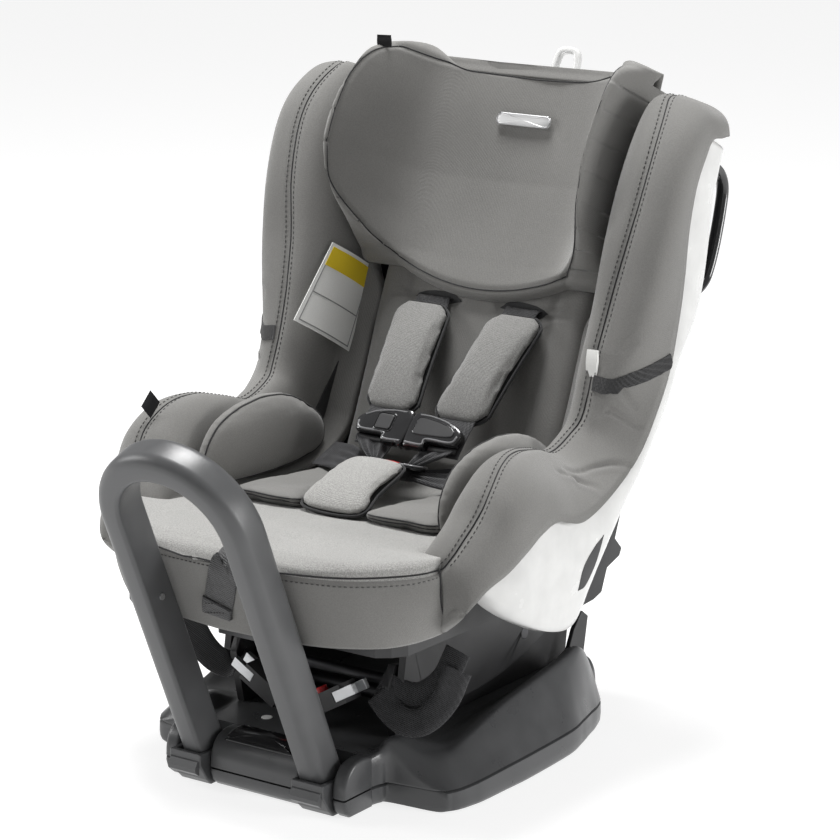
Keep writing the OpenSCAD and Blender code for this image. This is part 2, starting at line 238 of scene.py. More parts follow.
def webbing(name, color, along, pitch=1.5):
    """Harness tape: diagonal twill ribs across its length."""
    s = Shader(name, 0.62, Sheen_Weight=0.15, Sheen_Roughness=0.4, Specular_IOR_Level=0.35)
    ribs = s.threads(along, pitch)
    twill = s.threads((along[0] + 0.6, along[1], along[2] + 0.5), pitch * 0.8)
    weave = s.math("ADD", ribs, s.math("MULTIPLY", twill, 0.6))
    wear = s.noise(120, 3.0)
    s.color(s.ramp(wear, [(0.3, tone(color, 0.8)), (0.75, tone(color, 1.25))]))
    s.bump(weave, 0.18)
    s.roughness(s.ramp(wear, [(0.3, (0.5, 0.5, 0.5)), (0.7, (0.72, 0.72, 0.72))]))
    return s.material


def plastic(name, color, rough=0.45, grain=0.05, coat=0.0, scale=1400):
    """Moulded plastic: fine spark-erosion grain, faint scuffs and uneven gloss."""
    s = Shader(name, rough, Coat_Weight=coat, Coat_Roughness=0.08)
    fine = s.noise(scale, 3.0)
    scuffs = s.noise(35, 5.0)
    s.color(s.ramp(scuffs, [(0.3, tone(color, 0.93)), (0.7, tone(color, 1.07))]))
    low, high = max(rough - 0.06, 0.03), rough + 0.07
    s.roughness(s.ramp(scuffs, [(0.3, (low,) * 3), (0.7, (high,) * 3)]))
    s.bump(fine, grain)
    return s.material


def metal(name, color, rough=0.3):
    """Plated or bare metal with drawn marks along its length."""
    s = Shader(name, rough, Metallic=1.0)
    marks = s.noise(300, 4.0, (0.05, 1, 1))
    s.color(s.ramp(marks, [(0.3, tone(color, 0.88)), (0.7, color)]))
    s.roughness(s.ramp(marks, [(0.2, (rough * 0.8,) * 3), (0.8, (rough * 1.3,) * 3)]))
    s.bump(marks, 0.03)
    return s.material


GREY = (0.190, 0.187, 0.179)
JERSEY = (0.330, 0.326, 0.314)
# Darker copy of the jersey for the shoulder pads: painted shade
SHADED_PAD_JERSEY = (0.200, 0.198, 0.191)
CHARCOAL = (0.060, 0.061, 0.063)
MATERIALS = {
    "cover": fabric("cover_fabric", GREY, melange=0.10),
    "jersey": fabric("jersey_fabric", JERSEY, thread=1.3, melange=0.30, sheen=0.35, relief=0.25),
    # Same knit as the jersey, darker: painted shade on the shoulder pads
    "shaded_pad_jersey": fabric("shaded_pad_jersey", SHADED_PAD_JERSEY, thread=1.3, melange=0.30, sheen=0.35, relief=0.25),
    "lining": fabric("lining_fabric", (0.045, 0.045, 0.046), thread=1.0, melange=0.2),
    "thread": fabric("seam_thread", (0.030, 0.030, 0.031), thread=0.6, melange=0.25),
    "pale_thread": fabric("stitch_thread", (0.075, 0.074, 0.072), thread=0.6, melange=0.2),
    "tag": fabric("tag_fabric", (0.012, 0.012, 0.013), thread=0.7, melange=0.25),
    "band": webbing("elastic_webbing", (0.030, 0.030, 0.031), (0, 0.5, 1), 1.2),
    "webbing": webbing("harness_webbing", (0.035, 0.035, 0.037), (0.2, 1, 1)),
    "charcoal": plastic("charcoal_plastic", CHARCOAL, 0.32),
    "bar": plastic("bar_plastic", (0.075, 0.076, 0.078), 0.36),
    "dark": plastic("dark_plastic", (0.022, 0.022, 0.023), 0.50),
    "black_gloss": plastic("black_gloss", (0.012, 0.012, 0.013), 0.22, 0.02, 0.6),
    "white_gloss": plastic("white_gloss", (0.60, 0.60, 0.59), 0.22, 0.01, 0.4),
    "rubber": plastic("rubber", (0.018, 0.018, 0.018), 0.85, 0.12),
    "red": plastic("red_plastic", (0.55, 0.010, 0.014), 0.30, 0.02, 0.3),
    "steel": metal("steel", (0.62, 0.62, 0.63)),
    "dark_steel": metal("dark_steel", (0.10, 0.10, 0.105), 0.4),
    "silver": metal("silver_paint", (0.55, 0.56, 0.57), 0.38),
    "badge": metal("badge_metal", (0.60, 0.60, 0.60), 0.42),
    "tail": webbing("tail_webbing", (0.075, 0.075, 0.076), (0.3, 0.2, 1), 2.0),
    # Light grey plastic for the rods on the chest clip's ridge and lower edge and on the buckle tongues'
    # rims: a painted highlight on the black gloss parts
    "painted_highlight_plastic": plastic("painted_highlight_plastic", (0.17, 0.17, 0.175), 0.28, 0.02, 0.3),
    "handle": plastic("handle_plastic", (0.66, 0.66, 0.65), 0.35, 0.02, 0.2),
    "label": fabric("label_print", (0.78, 0.78, 0.76), thread=0.5, melange=0.03, sheen=0.0, relief=0.03),
    "label_band": fabric("label_band", (0.75, 0.55, 0.03), thread=0.5, melange=0.03, sheen=0.0, relief=0.03),
    "label_line": fabric("label_line", (0.25, 0.25, 0.25), thread=0.5, melange=0.03, sheen=0.0, relief=0.03),
}


# ------------------------------------------------------------------ geometry helpers

def vec(*values):
    return np.array(values, float)


def spline(points, count, closed=False):
    """Catmull-Rom curve through the points, as count points evenly spaced along it."""
    p = np.asarray(points, float)
    if closed:
        p = np.vstack([p[-1], p, p[0], p[1]])
    else:
        p = np.vstack([2 * p[0] - p[1], p, 2 * p[-1] - p[-2]])
    fine = []
    for a, b, c, d in zip(p[:-3], p[1:-2], p[2:-1], p[3:]):
        for t in np.linspace(0, 1, 24, endpoint=False):
            fine.append(0.5 * (2 * b + (c - a) * t + (2 * a - 5 * b + 4 * c - d) * t ** 2
                               + (3 * b - a - 3 * c + d) * t ** 3))
    fine.append(p[-2])
    fine = np.array(fine)
    length = np.concatenate([[0], np.cumsum(np.linalg.norm(np.diff(fine, axis=0), axis=1))])
    at = np.linspace(0, length[-1], count + 1 if closed else count)
    if closed:
        at = at[:-1]
    return np.stack([np.interp(at, length, fine[:, k]) for k in range(fine.shape[1])], 1)


def matched(table, count):
    """Several curves given as columns of points, sampled together so that matched points stay matched."""
    rows = np.array([np.concatenate([np.asarray(point, float) for point in row]) for row in table])
    return spline(rows, count)


def corner_arc(start, corner, end, count, square=1.0):
    """Rounded corner from start to end that bulges towards corner; square below 1 fills the corner more."""
    angle = np.linspace(0, math.pi / 2, count)
    c, s = np.clip(np.cos(angle), 0, 1) ** square, np.sin(angle) ** square
    opposite = start + end - corner
    return opposite + np.outer(c, corner - end) + np.outer(s, corner - start)


def smooth_step(t):
    t = np.clip(t, 0, 1)
    return t * t * (3 - 2 * t)


def make_mesh(name, points, faces, materials, index=None, sharp=None):
    mesh = bpy.data.meshes.new(name)
    mesh.from_pydata((np.asarray(points) * MM).tolist(), [], faces)
    for key in materials:
        mesh.materials.append(MATERIALS[key])
    if index is not None:
        mesh.polygons.foreach_set("material_index", index)
    mesh.shade_smooth()
    work = bmesh.new()
    work.from_mesh(mesh)
    bmesh.ops.recalc_face_normals(work, faces=work.faces)
    work.to_mesh(mesh)
    work.free()
    if sharp is not None:
        mesh.set_sharp_from_angle(angle=math.radians(sharp))
    piece = bpy.data.objects.new(name, mesh)
    bpy.context.scene.collection.objects.link(piece)
    return piece


def loft(name, rows, materials, bands=(), ring=True, caps=True, sharp=None):
    """Surface through rows of matched points; bands are (first, last, material index) across each row."""
    rows = np.asarray(rows, float)
    count, across = rows.shape[:2]
    faces, index = [], []
    column = np.zeros(across, int)
    for first, last, slot in bands:
        column[first:last] = slot
    for r in range(count - 1):
        for c in range(across if ring else across - 1):
            d = (c + 1) % across
            faces.append((r * across + c, r * across + d, (r + 1) * across + d, (r + 1) * across + c))
            index.append(int(column[c]))
    if caps and ring:
        faces.append(tuple(range(across)))
        faces.append(tuple((count - 1) * across + c for c in range(across)))
        index += [int(column[0])] * 2
    return make_mesh(name, rows.reshape(-1, 3), faces, materials, index, sharp)


def across_frames(path, side):
    """Unit tangent, width direction and normal at each point of a path, kept square to each other."""
    tangent = np.gradient(path, axis=0)
    tangent /= np.linalg.norm(tangent, axis=1)[:, None]
    side = np.broadcast_to(np.asarray(side, float), path.shape)
    normal = np.cross(tangent, side)
    normal /= np.linalg.norm(normal, axis=1)[:, None]
    return tangent, np.cross(normal, tangent), normal


def tube(name, path, radius, material, sides=8, closed=False):
    """Round cord along a path, such as a piping or a tube."""
    path = np.asarray(path, float)
    ahead = np.roll(path, -1, 0) - np.roll(path, 1, 0) if closed else np.gradient(path, axis=0)
    tangent = ahead / np.linalg.norm(ahead, axis=1)[:, None]
    guide = vec(0, 0, 1) if abs(tangent[0][2]) < 0.9 else vec(1, 0, 0)
    rows = []
    for point, direction in zip(path, tangent):
        u = guide - direction * (guide @ direction)
        u /= np.linalg.norm(u)
        guide = u
        v = np.cross(direction, u)
        angle = np.arange(sides) * 2 * math.pi / sides
        rows.append(point + radius * (np.outer(np.cos(angle), u) + np.outer(np.sin(angle), v)))
    if closed:
        rows.append(rows[0])
    return loft(name, rows, [material], caps=not closed)


def ribbon(name, path, side, width, thick, material, sag=0.0):
    """Flat webbing along a path, with rounded selvedges; side is its width direction."""
    path = np.asarray(path, float)
    _, across, normal = across_frames(path, side)
    half = width / 2
    selvedge, face = half - thick * 0.4, thick / 2
    profile = [(-half, 0), (-selvedge, face), (-half * 0.5, face + sag), (0, face + sag),
               (half * 0.5, face + sag), (selvedge, face), (half, 0), (selvedge, -face),
               (half * 0.5, -face + sag), (0, -face + sag), (-half * 0.5, -face + sag), (-selvedge, -face)]
    rows = [[point + a * w + n * h for w, h in profile] for point, a, n in zip(path, across, normal)]
    return loft(name, rows, [material])


def pillow(name, outline, thick, place, materials, rings=10, square=2.6):
    """Closed pad from an outline in a plane. place(u, v, w) gives the point; w is across the thickness."""
    outline = np.asarray(outline, float)
    centre = outline.mean(0)
    power = 2 / square
    rows = []
    for angle in np.linspace(math.pi / 2, -math.pi / 2, 2 * rings - 1):
        reach = max(abs(math.cos(angle)) ** power, 0.02)
        height = math.copysign(abs(math.sin(angle)) ** power, angle) * thick / 2
        rows.append([place(u, v, height) for u, v in centre + (outline - centre) * reach])
    return loft(name, rows, materials)


def on_surface(piece, points, lift=0.0):
    """The points moved onto a piece's surface, then raised by lift along its normal."""
    tree = BVHTree.FromObject(piece, bpy.context.evaluated_depsgraph_get())
    found = []
    for point in points:
        place, normal, _, _ = tree.find_nearest(Vector(point) * MM)
        found.append(np.array(place) / MM + np.array(normal) * lift)
    return np.array(found)


def relax(path, times=3):
    """The path with small jogs smoothed out; its ends stay."""
    path = np.array(path)
    for _ in range(times):
        path[1:-1] = (path[:-2] + 2 * path[1:-1] + path[2:]) / 4
    return path


def path_tree(path):
    """Search tree of a path's points, in metres."""
    tree = kdtree.KDTree(len(path))
    for k, point in enumerate(path):
        tree.insert(Vector(point) * MM, k)
    tree.balance()
    return tree


def move_vertices(mesh, moves):
    """Shifts vertices by (index, shift in metres) pairs."""
    for k, move in moves:
        mesh.vertices[k].co += move
    mesh.update()


def press(piece, path, width, depth):
    """Presses a seam into a piece along a path: the surface sinks by depth within width of it."""
    tree = path_tree(path)
    moves = []
    for vertex in piece.data.vertices:
        distance = tree.find(vertex.co)[2] / MM
        if distance < width:
            moves.append((vertex.index, vertex.normal * (-depth * MM * (1 - (distance / width) ** 2) ** 2)))
    move_vertices(piece.data, moves)


def crease(piece, path, width, depth):
    """A fold that fades at both ends: a groove along the path with a raised lip beside it."""
    path = np.asarray(path, float)
    tree = path_tree(path)
    moves = []
    for vertex in piece.data.vertices:
        near, k, distance = tree.find(vertex.co)
        distance /= MM
        if distance < 2.5 * width:
            along = Vector(path[min(k + 1, len(path) - 1)] - path[max(k - 1, 0)]).normalized()
            side = (vertex.co - near).dot(along.cross(vertex.normal)) / MM
            fade = max(0.0, math.sin(math.pi * k / (len(path) - 1))) ** 0.7
            groove = -math.exp(-(side / width) ** 2)
            lip = 0.55 * math.exp(-((side - 1.5 * width) / width) ** 2)
            reach = max(0.0, 1 - (distance / (2.5 * width)) ** 2)
            moves.append((vertex.index, vertex.normal * ((groove + lip) * fade * reach * depth * MM)))
    move_vertices(piece.data, moves)


def ripple(piece, size, depth, seed=0.0):
    """Slow unevenness of stuffed fabric: the surface moves by up to depth over lengths of about size."""
    mesh = piece.data
    offset = Vector((seed, seed * 0.7, seed * 1.3))
    moves = [vertex.normal * (noise.noise(vertex.co / (size * MM) + offset) * depth * MM)
             for vertex in mesh.vertices]
    for vertex, move in zip(mesh.vertices, moves):
        vertex.co += move
    mesh.update()


def smooth_where(piece, chosen, times):
    """Evens out the chosen vertices of a piece."""
    work = bmesh.new()
    work.from_mesh(piece.data)
    work.verts.ensure_lookup_table()
    picked = [work.verts[k] for k in np.flatnonzero(chosen)]
    for _ in range(times):
        bmesh.ops.smooth_vert(work, verts=picked, factor=0.5, use_axis_x=True, use_axis_y=True,
                              use_axis_z=True)
    work.to_mesh(piece.data)
    work.free()


def stitches(name, path, pitch=5.0, length=3.2, radius=0.55, material="pale_thread"):
    """Row of short thread stitches along a path."""
    path = np.asarray(path, float)
    along = np.concatenate([[0], np.cumsum(np.linalg.norm(np.diff(path, axis=0), axis=1))])
    count = int(along[-1] / pitch)
    points, faces = [], []
    sides = 6
    for k in range(count):
        at = (k + 0.5) * pitch
        ends = [np.array([np.interp(at + d, along, path[:, i]) for i in range(3)])
                for d in (-length / 2, length / 2)]
        direction = ends[1] - ends[0]
        direction /= np.linalg.norm(direction)
        u = np.cross(direction, (0.31, 0.17, 0.93))
        u /= np.linalg.norm(u)
        v = np.cross(direction, u)
        angle = np.arange(sides) * 2 * math.pi / sides
        circle = np.outer(np.cos(angle), u) + np.outer(np.sin(angle), v)
        middle = (ends[0] + ends[1]) / 2
        first = len(points)
        points += [ends[0], *(middle + (ends[0] - middle) * 0.7 + circle * radius),
                   *(middle + (ends[1] - middle) * 0.7 + circle * radius), ends[1]]
        for i in range(sides):
            j = (i + 1) % sides
            faces.append((first, first + 1 + j, first + 1 + i))
            faces.append((first + 1 + i, first + 1 + j, first + 1 + sides + j, first + 1 + sides + i))
            faces.append((first + 1 + sides + i, first + 1 + sides + j, first + 1 + 2 * sides))
    return make_mesh(name, np.array(points), faces, [material])


def bake_modifiers(piece):
    """Applies a piece's modifiers, so that none is left on it."""
    evaluated = piece.evaluated_get(bpy.context.evaluated_depsgraph_get())
    mesh = bpy.data.meshes.new_from_object(evaluated)
    piece.modifiers.clear()
    piece.data = mesh


def refine(piece, levels=1):
    modifier = piece.modifiers.new("refine", "SUBSURF")
    modifier.levels = modifier.render_levels = levels
    bake_modifiers(piece)


def inflate(piece, voxel=4.5, cap=6.0, pressure=4.0, frames=20):
    """Swells a pad as stuffed cloth: voxel remesh, cloth simulation under pressure, and a capped result."""
    remesh = piece.modifiers.new("remesh", "REMESH")
    remesh.mode = "VOXEL"
    remesh.voxel_size = voxel * MM
    remesh.use_smooth_shade = True
    bake_modifiers(piece)
    before = np.array([vertex.co for vertex in piece.data.vertices])
    cloth = piece.modifiers.new("cloth", "CLOTH")
    cloth.settings.quality = 5
    cloth.settings.use_pressure = True
    cloth.settings.uniform_pressure_force = pressure
    cloth.settings.effector_weights.gravity = 0
    cloth.point_cache.frame_start = 1
    cloth.point_cache.frame_end = frames
    for number in range(1, frames + 1):
        bpy.context.scene.frame_set(number)
    bake_modifiers(piece)
    after = np.array([vertex.co for vertex in piece.data.vertices])
    step = after - before
    reach = np.linalg.norm(step, axis=1, keepdims=True)
    after = before + step * np.minimum(1, cap * MM / np.maximum(reach, 1e-9))
    piece.data.vertices.foreach_set("co", after.ravel())
    piece.data.update()
    bpy.context.scene.frame_set(1)
    refine(piece)


def finish_piece(piece, body, replaced=()):
    """Attaches a piece to the body it rides on and hides the CAD nodes it stands for."""
    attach(piece, body)
    if replaced:
        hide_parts(*replaced)
    return piece


def add_tube(name, path, radius, material, body, closed=False):
    """A piping, rim or rod along a path, attached to a body."""
    return finish_piece(tube(name, path, radius, material, closed=closed), body)


SIGN = {"right": 1, "left": -1}


def once(side, node):
    """A CAD node that holds both sides, replaced by the right-hand piece."""
    return [node] if side == "right" else []


def mirrored(points):
    return np.asarray(points, float) * vec(-1, 1, 1)


def on_side(points, side):
    """The points as drawn on the right, or mirrored for the left."""
    return np.asarray(points, float) if side == "right" else mirrored(points)


# The backrest's own frame: d behind its front surface, u up along it
BACK_LEAN = math.radians(23)
BACK_FOOT = (67, 240)


def on_back(x, d, u):
    s, c = math.sin(BACK_LEAN), math.cos(BACK_LEAN)
    return vec(x, BACK_FOOT[0] + u * s + d * c, BACK_FOOT[1] + u * c - d * s)


def patch(name, piece, first, last, material, lift=0.8, thick=0.8, across=7):
    """Thin piece sewn or stuck to a surface, between two edge curves with as many points each."""
    share = np.linspace(0, 1, across)[:, None]
    lines = np.array([a + (np.asarray(b) - a) * share for a, b in zip(first, last)])
    upper = on_surface(piece, lines.reshape(-1, 3), lift).reshape(lines.shape)
    lower = on_surface(piece, lines.reshape(-1, 3), lift - thick).reshape(lines.shape)
    rows = [np.vstack([top, low[::-1]]) for top, low in zip(upper, lower)]
    return loft(name, rows, [material], sharp=50)


# ------------------------------------------------------------------ padded cover: wings

# Right wing from its top to the nose: crest seam, outer corner, outer edge on the white shell, inner root
# beside the pad, and how far in the root runs on beside the pad
WING = [
    ((198, 224, 578), (216, 225, 578), (220, 225, 567), (150, 218, 566), (150,)),
    ((197, 208, 597), (229, 210, 595), (227, 214, 570), (150, 208, 556), (150,)),
    ((194, 186, 608), (233, 187, 604), (232, 193, 571), (150, 198, 540), (150,)),
    ((192, 163, 611), (235, 160, 607), (233, 174, 571), (150, 188, 515), (150,)),
    ((200, 133, 588), (241, 128, 586), (234, 160, 556), (150, 177, 485), (150,)),
    ((202, 111, 554), (243, 105, 552), (233, 146, 530), (150, 163, 455), (149,)),
    ((197, 91, 500), (243, 84, 498), (231, 138, 495), (150, 148, 420), (138,)),
    ((188, 77, 447), (240, 70, 445), (230, 132, 450), (150, 135, 392), (122,)),
    ((183, 64, 404), (229, 59, 402), (230, 124, 412), (150, 120, 360), (122,)),
    ((180, 50, 365), (214, 47, 363), (230, 111, 370), (150, 105, 325), (122,)),
    ((180, 37, 331), (203, 34, 329), (230, 92, 336), (150, 92, 298), (122,)),
    ((177, 23, 317), (194, 20, 314), (230, 62, 298), (150, 76, 268), (122,)),
    ((177, -10, 306), (196, -12, 303), (230, 20, 271), (150, 42, 244), (126,)),
    ((178, -43, 315), (206, -45, 313), (230, -36, 254), (150, -20, 236), (132,)),
    ((185, -81, 323), (218, -83, 320), (230, -78, 263), (150, -60, 238), (136,)),
    ((191, -112, 319), (226, -114, 316), (230, -104, 258), (150, -95, 240), (136,)),
    ((196, -138, 301), (229, -140, 298), (229, -127, 246), (150, -125, 240), (136,)),
    ((194, -155, 279), (222, -158, 276), (226, -152, 233), (150, -145, 240), (136,)),
    ((190, -171, 262), (214, -174, 256), (220, -177, 222), (150, -160, 240), (136,)),
    ((185, -181, 248), (206, -186, 240), (206, -192, 200), (150, -170, 240), (140,)),
    ((176, -186, 236), (188, -196, 206), (178, -184, 178), (150, -172, 236), (144,)),
]
WING_STATIONS = 300
WING_INNER = 26
WING_OUTER = 40


def wing_rows(stations):
    rows = []
    for station in stations:
        seam, outer_corner, edge, root = station[0:3], station[3:6], station[6:9], station[9:12]
        inner_corner = vec(root[0] + 1.5, seam[1], seam[2])
        flange = [vec(station[12], root[1] + 14, root[2] - 6), vec(station[12], root[1], root[2])]
        inner = corner_arc(root, inner_corner, seam, WING_INNER, 0.72)
        outer = corner_arc(seam, outer_corner, edge, WING_OUTER, 0.62)
        tuck = vec(edge[0] - 9, edge[1], edge[2])
        rows.append(np.vstack([flange, inner, outer[1:], [tuck]]))
    return rows


# Folds of the outer face under the elastic band: start and end as [y, z]
WING_FOLDS = [
    ((19, 361), (62, 338), 3.0, 2.8),
    ((-8, 351), (66, 321), 3.0, 3.0),
    ((-26, 331), (44, 292), 3.2, 3.4),
    ((-46, 325), (1, 285), 3.0, 2.8),
    ((10, 395), (60, 398), 5.0, 1.2),
]


def add_wing(side):
    stations = matched(WING, WING_STATIONS)
    seam_path = on_side(stations[:, 0:3], side)
    rows = np.array(wing_rows(stations))
    wing = loft("wing_cover_" + side, on_side(rows, side), ["cover"])
    ripple(wing, 70, 1.6, 3.0 if side == "right" else 7.0)
    press(wing, seam_path, 6.0, 1.8)
    for (start, end, width, depth) in WING_FOLDS:
        bow = vec(0, (start[0] + end[0]) / 2 - 3, (start[1] + end[1]) / 2 + 4)
        guide = spline([vec(236, *start), bow + vec(236, 0, 0), vec(236, *end)], 24)
        crease(wing, on_surface(wing, on_side(guide, side)), width, depth)
    path = relax(on_surface(wing, seam_path, 0.1), 6)
    finish_piece(wing, "seat", ["wing_" + side])
    add_tube("wing_seam_" + side, path[6:], 0.75, "thread", "seat")
    for name, shift in (("outer", 5.0), ("inner", -4.5)):
        line = on_side(stations[8:-4, 0:3] + vec(shift, 0, 0), side)
        row = stitches("wing_stitches_" + name + "_" + side, relax(on_surface(wing, line, 0.25)))
        finish_piece(row, "seat")
    add_elastic_band(wing, side)
    return wing


def add_elastic_band(wing, side):
    upper = spline([(183, 44, 368), (216, 40, 367), (238, 70, 371), (238, 108, 381)], 50)
    lower = spline([(183, 40, 354), (212, 34, 354), (238, 68, 358), (238, 112, 369)], 50)
    band = patch("elastic_band_" + side, wing, on_side(upper, side), on_side(lower, side), "band", 1.0, 1.4)
    finish_piece(band, "seat", once(side, "elastic_bands"))


def add_tag(name, corner, width_step, height_step, body, material="tag"):
    """Blank folded fabric tag, standing out of a seam."""
    corner, width_step, height_step = vec(*corner), vec(*width_step), vec(*height_step)
    normal = np.cross(width_step, height_step)
    normal /= np.linalg.norm(normal)
    rows = []
    for t in np.linspace(0, 1, 12):
        bulge = 1.1 * math.sin(math.pi * min(t * 1.2, 1)) + 0.35
        point = corner + height_step * t
        rows.append([point + normal * bulge, point + width_step * 0.5 + normal * bulge,
                     point + width_step + normal * bulge, point + width_step - normal * bulge,
                     point + width_step * 0.5 - normal * bulge, point - normal * bulge])
    tag = loft(name, rows, [material], sharp=40)
    return finish_piece(tag, body)


# ------------------------------------------------------------------ padded cover: seat cushion and nose

# Front seam in plan on the right, from the corner seam to the middle, with the point under it where the
# cover tucks in, and how far the front panel swells past the seam
NOSE = [
    ((176, -186, 236), (178, -182, 178), (12,)),
    ((175, -200, 236), (172, -196, 175), (14,)),
    ((167, -216, 236), (162, -212, 172), (14,)),
    ((150, -236, 236), (146, -226, 169), (12,)),
    ((127, -254, 236), (125, -236, 167), (9,)),
    ((95, -268, 236), (95, -243, 165), (4,)),
    ((60, -275, 236), (60, -248, 164), (1,)),
    ((20, -278, 236), (20, -250, 163), (0,)),
]
NOSE_STATIONS = 64
# Line over the middle of the seat, as [y, z]
SEAT_TOP = [(-278, 236), (-268, 244), (-250, 247.5), (-200, 248), (-150, 244), (-100, 237), (-40, 230),
            (0, 227), (40, 229), (56, 233)]


def seat_height(y):
    """Height of the seat's top surface at a depth."""
    depths, heights = zip(*SEAT_TOP)
    return float(np.interp(y, depths, heights))


CUSHION_BACK_HALF_WIDTH = 150
CUSHION_BACK = 58
CUSHION_RIM = 16.0
CUSHION_TOP_POINTS = 60
CUSHION_FRONT_POINTS = 30


def outward_normals(plan):
    """Unit normals of the nose's seam in plan, pointing away from the seat."""
    ahead = np.gradient(plan, axis=0)
    outward = np.stack([-ahead[:, 1], ahead[:, 0]], 1)
    outward /= np.linalg.norm(outward, axis=1)[:, None]
    return outward * np.sign(np.sum(outward * (plan - vec(0, -150)), axis=1))[:, None]


def cushion_top(seam, back):
    """Line over the seat from the back to the front seam, rolled down at the seam and under the wings."""
    reach = np.linalg.norm(back[:2] - seam[:2])
    line = []
    for t in np.linspace(0, 1, CUSHION_TOP_POINTS)[::-1] ** 1.6:
        point = seam + (back - seam) * t
        beside_wing = np.clip((152 - abs(point[0])) / CUSHION_RIM, 0, 1)
        ahead_of_wing = np.clip((-170 - point[1]) / 10, 0, 1)
        inset = min(t * reach / CUSHION_RIM, beside_wing + ahead_of_wing, 1)
        full = seat_height(point[1])
        rise = math.sqrt(max(0.0, 1 - (1 - inset) ** 2))
        line.append(vec(point[0], point[1], seam[2] + (max(full, seam[2] - 20) - seam[2]) * rise))
    return line


def cushion_row(station, outward, share):
    """Section of the cushion at a station of the nose: its front, what is tucked under, and its top."""
    seam, under, swell = station[0:3], station[3:6], station[6]
    back = vec(CUSHION_BACK_HALF_WIDTH - 2 * CUSHION_BACK_HALF_WIDTH * share, CUSHION_BACK, 0)
    front_corner = seam + np.append(outward, 0) * swell + (under - seam) * 0.45
    front = corner_arc(seam, front_corner, under, CUSHION_FRONT_POINTS, 0.9)
    hidden = [under + (vec(under[0] * 0.8, -180, 176) - under) * t for t in (0.35, 1.0)]
    hidden.append(vec(back[0] * 0.9, 40, 200))
    return np.vstack([front[1:], hidden, cushion_top(seam, back)])


def add_nose_trim(cushion, seam_path, corner):
    """Piping and stitches along the nose's front seam, and the short seams at its corners."""
    add_tube("nose_seam", relax(on_surface(cushion, seam_path, 0.2), 4), 0.9, "thread", "seat")
    stitch_line = relax(on_surface(cushion, seam_path + vec(0, 0, -7), 0.3))
    finish_piece(stitches("nose_stitches", stitch_line), "seat")
    for side in SIGN:
        ends = on_side([corner[0:3] + vec(3, -1, 0), corner[3:6] + vec(2, 0, 4)], side)
        guide = ends[0] + (ends[1] - ends[0]) * np.linspace(0, 1, 30)[:, None]
        guide = guide + on_side(vec(12, -9, 0), side) * np.sin(np.linspace(0, math.pi, 30))[:, None]
        seam = relax(on_surface(cushion, guide, 0.4))
        add_tube("nose_corner_seam_" + side, seam, 0.8, "thread", "seat")


def add_seat_cushion():
    right = matched(NOSE, NOSE_STATIONS)
    left = right[::-1].copy()
    left[:, [0, 3]] *= -1
    stations = np.vstack([right, left])
    outward = outward_normals(stations[:, 0:2])
    rows = [cushion_row(station, outward[k], k / (len(stations) - 1)) for k, station in enumerate(stations)]
    across = len(rows[0])
    bands = [(0, CUSHION_FRONT_POINTS, 0), (across - CUSHION_TOP_POINTS, across, 1)]
    cushion = loft("seat_cushion_cover", rows, ["cover", "jersey"], bands)
    ripple(cushion, 60, 1.2, 11.0)
    seam_path = stations[:, 0:3]
    press(cushion, seam_path, 7.0, 2.2)
    finish_piece(cushion, "seat", ["seat_cushion"])
    add_nose_trim(cushion, seam_path, right[0])
    return cushion


# ------------------------------------------------------------------ headrest

# Seam of the right ear as (x, d, u) in the backrest's frame, from the bottom corner to the top
EAR_SEAM = [(100, -16, 204), (113, -35, 213), (125, -56, 227), (136, -80, 243), (141.5, -95, 259),
            (145.5, -106, 286), (146, -108, 306), (145.5, -105, 330), (144, -97, 358), (141, -85, 381),
            (136, -69, 397), (128, -50, 406)]
HEADREST_HALF_WIDTH = 147.5
HEADREST_BACK = 13.4
HEADREST_LEVELS = 110
HEADREST_FRONT_POINTS = 60
HEADREST_GUSSET_POINTS = 30
HEADREST_BOTTOM_DROP = 9
HEADREST_SUNK = 12
# Section of the front face: share of the way out to the ear's seam, and share of the ear's depth there
PROFILE_X = (0.0, 0.36, 0.60, 0.74, 0.84, 0.93, 1.0)
PROFILE_D = (0.0, 0.012, 0.05, 0.16, 0.38, 0.70, 1.0)


def headrest_slice(share):
    """One level of the headrest, share of the way from its bottom seam to its top seam."""
    ear = spline(EAR_SEAM, 101)[int(round(share * 100))]
    middle_d = np.interp(share, (0, 0.12, 0.5, 1), (-12, -9, -3, -4))
    middle_u = 181 + (400 - 181) * share
    t = np.linspace(0, 1, HEADREST_FRONT_POINTS)
    profile = spline(np.stack([PROFILE_X, PROFILE_D], 1), 200)
    x = ear[0] * np.interp(t, np.linspace(0, 1, 200), profile[:, 0])
    d = middle_d + (ear[1] - middle_d) * np.interp(t, np.linspace(0, 1, 200), profile[:, 1])
    u = middle_u + (ear[2] - middle_u) * (x / ear[0]) ** 2
    front = np.stack([x, d, u], 1)
    half_width = HEADREST_HALF_WIDTH + 5 * max(0.0, (ear[2] - 368) / 38) ** 2
    corner = vec(half_width, ear[1] - 7, ear[2])
    side_end = vec(half_width, HEADREST_BACK, ear[2])
    gusset = corner_arc(ear, corner, side_end, HEADREST_GUSSET_POINTS, 0.55)
    half = np.vstack([front, gusset[1:]])
    left = half[::-1][:-1] * vec(-1, 1, 1)
    return np.vstack([left, half])


def headrest_rows(slices):
    """The slices with a rounded end below and above, the last one sunk so that it closes out of sight."""
    top, bottom = slices[-1], slices[0]
    rows = [close_end(bottom, -HEADREST_BOTTOM_DROP, angle) for angle in np.linspace(90, 8, 8)]
    rows += slices
    out = np.abs(top[:, 0])
    rise = -2 + 17 * np.clip((out - 70) / 45, 0.0, 1.0) - 9 * np.clip((out - 122) / 28, 0.0, 1.0)
    rows += [close_end(top, rise, angle) for angle in np.linspace(8, 90, 10)]
    sunk = rows[-1].copy()
    sunk[:, 2] = np.minimum(sunk[:, 2], top[0, 2] - HEADREST_SUNK)
    rows.append(sunk)
    return [dip_back(np.array(row, float)) for row in rows]


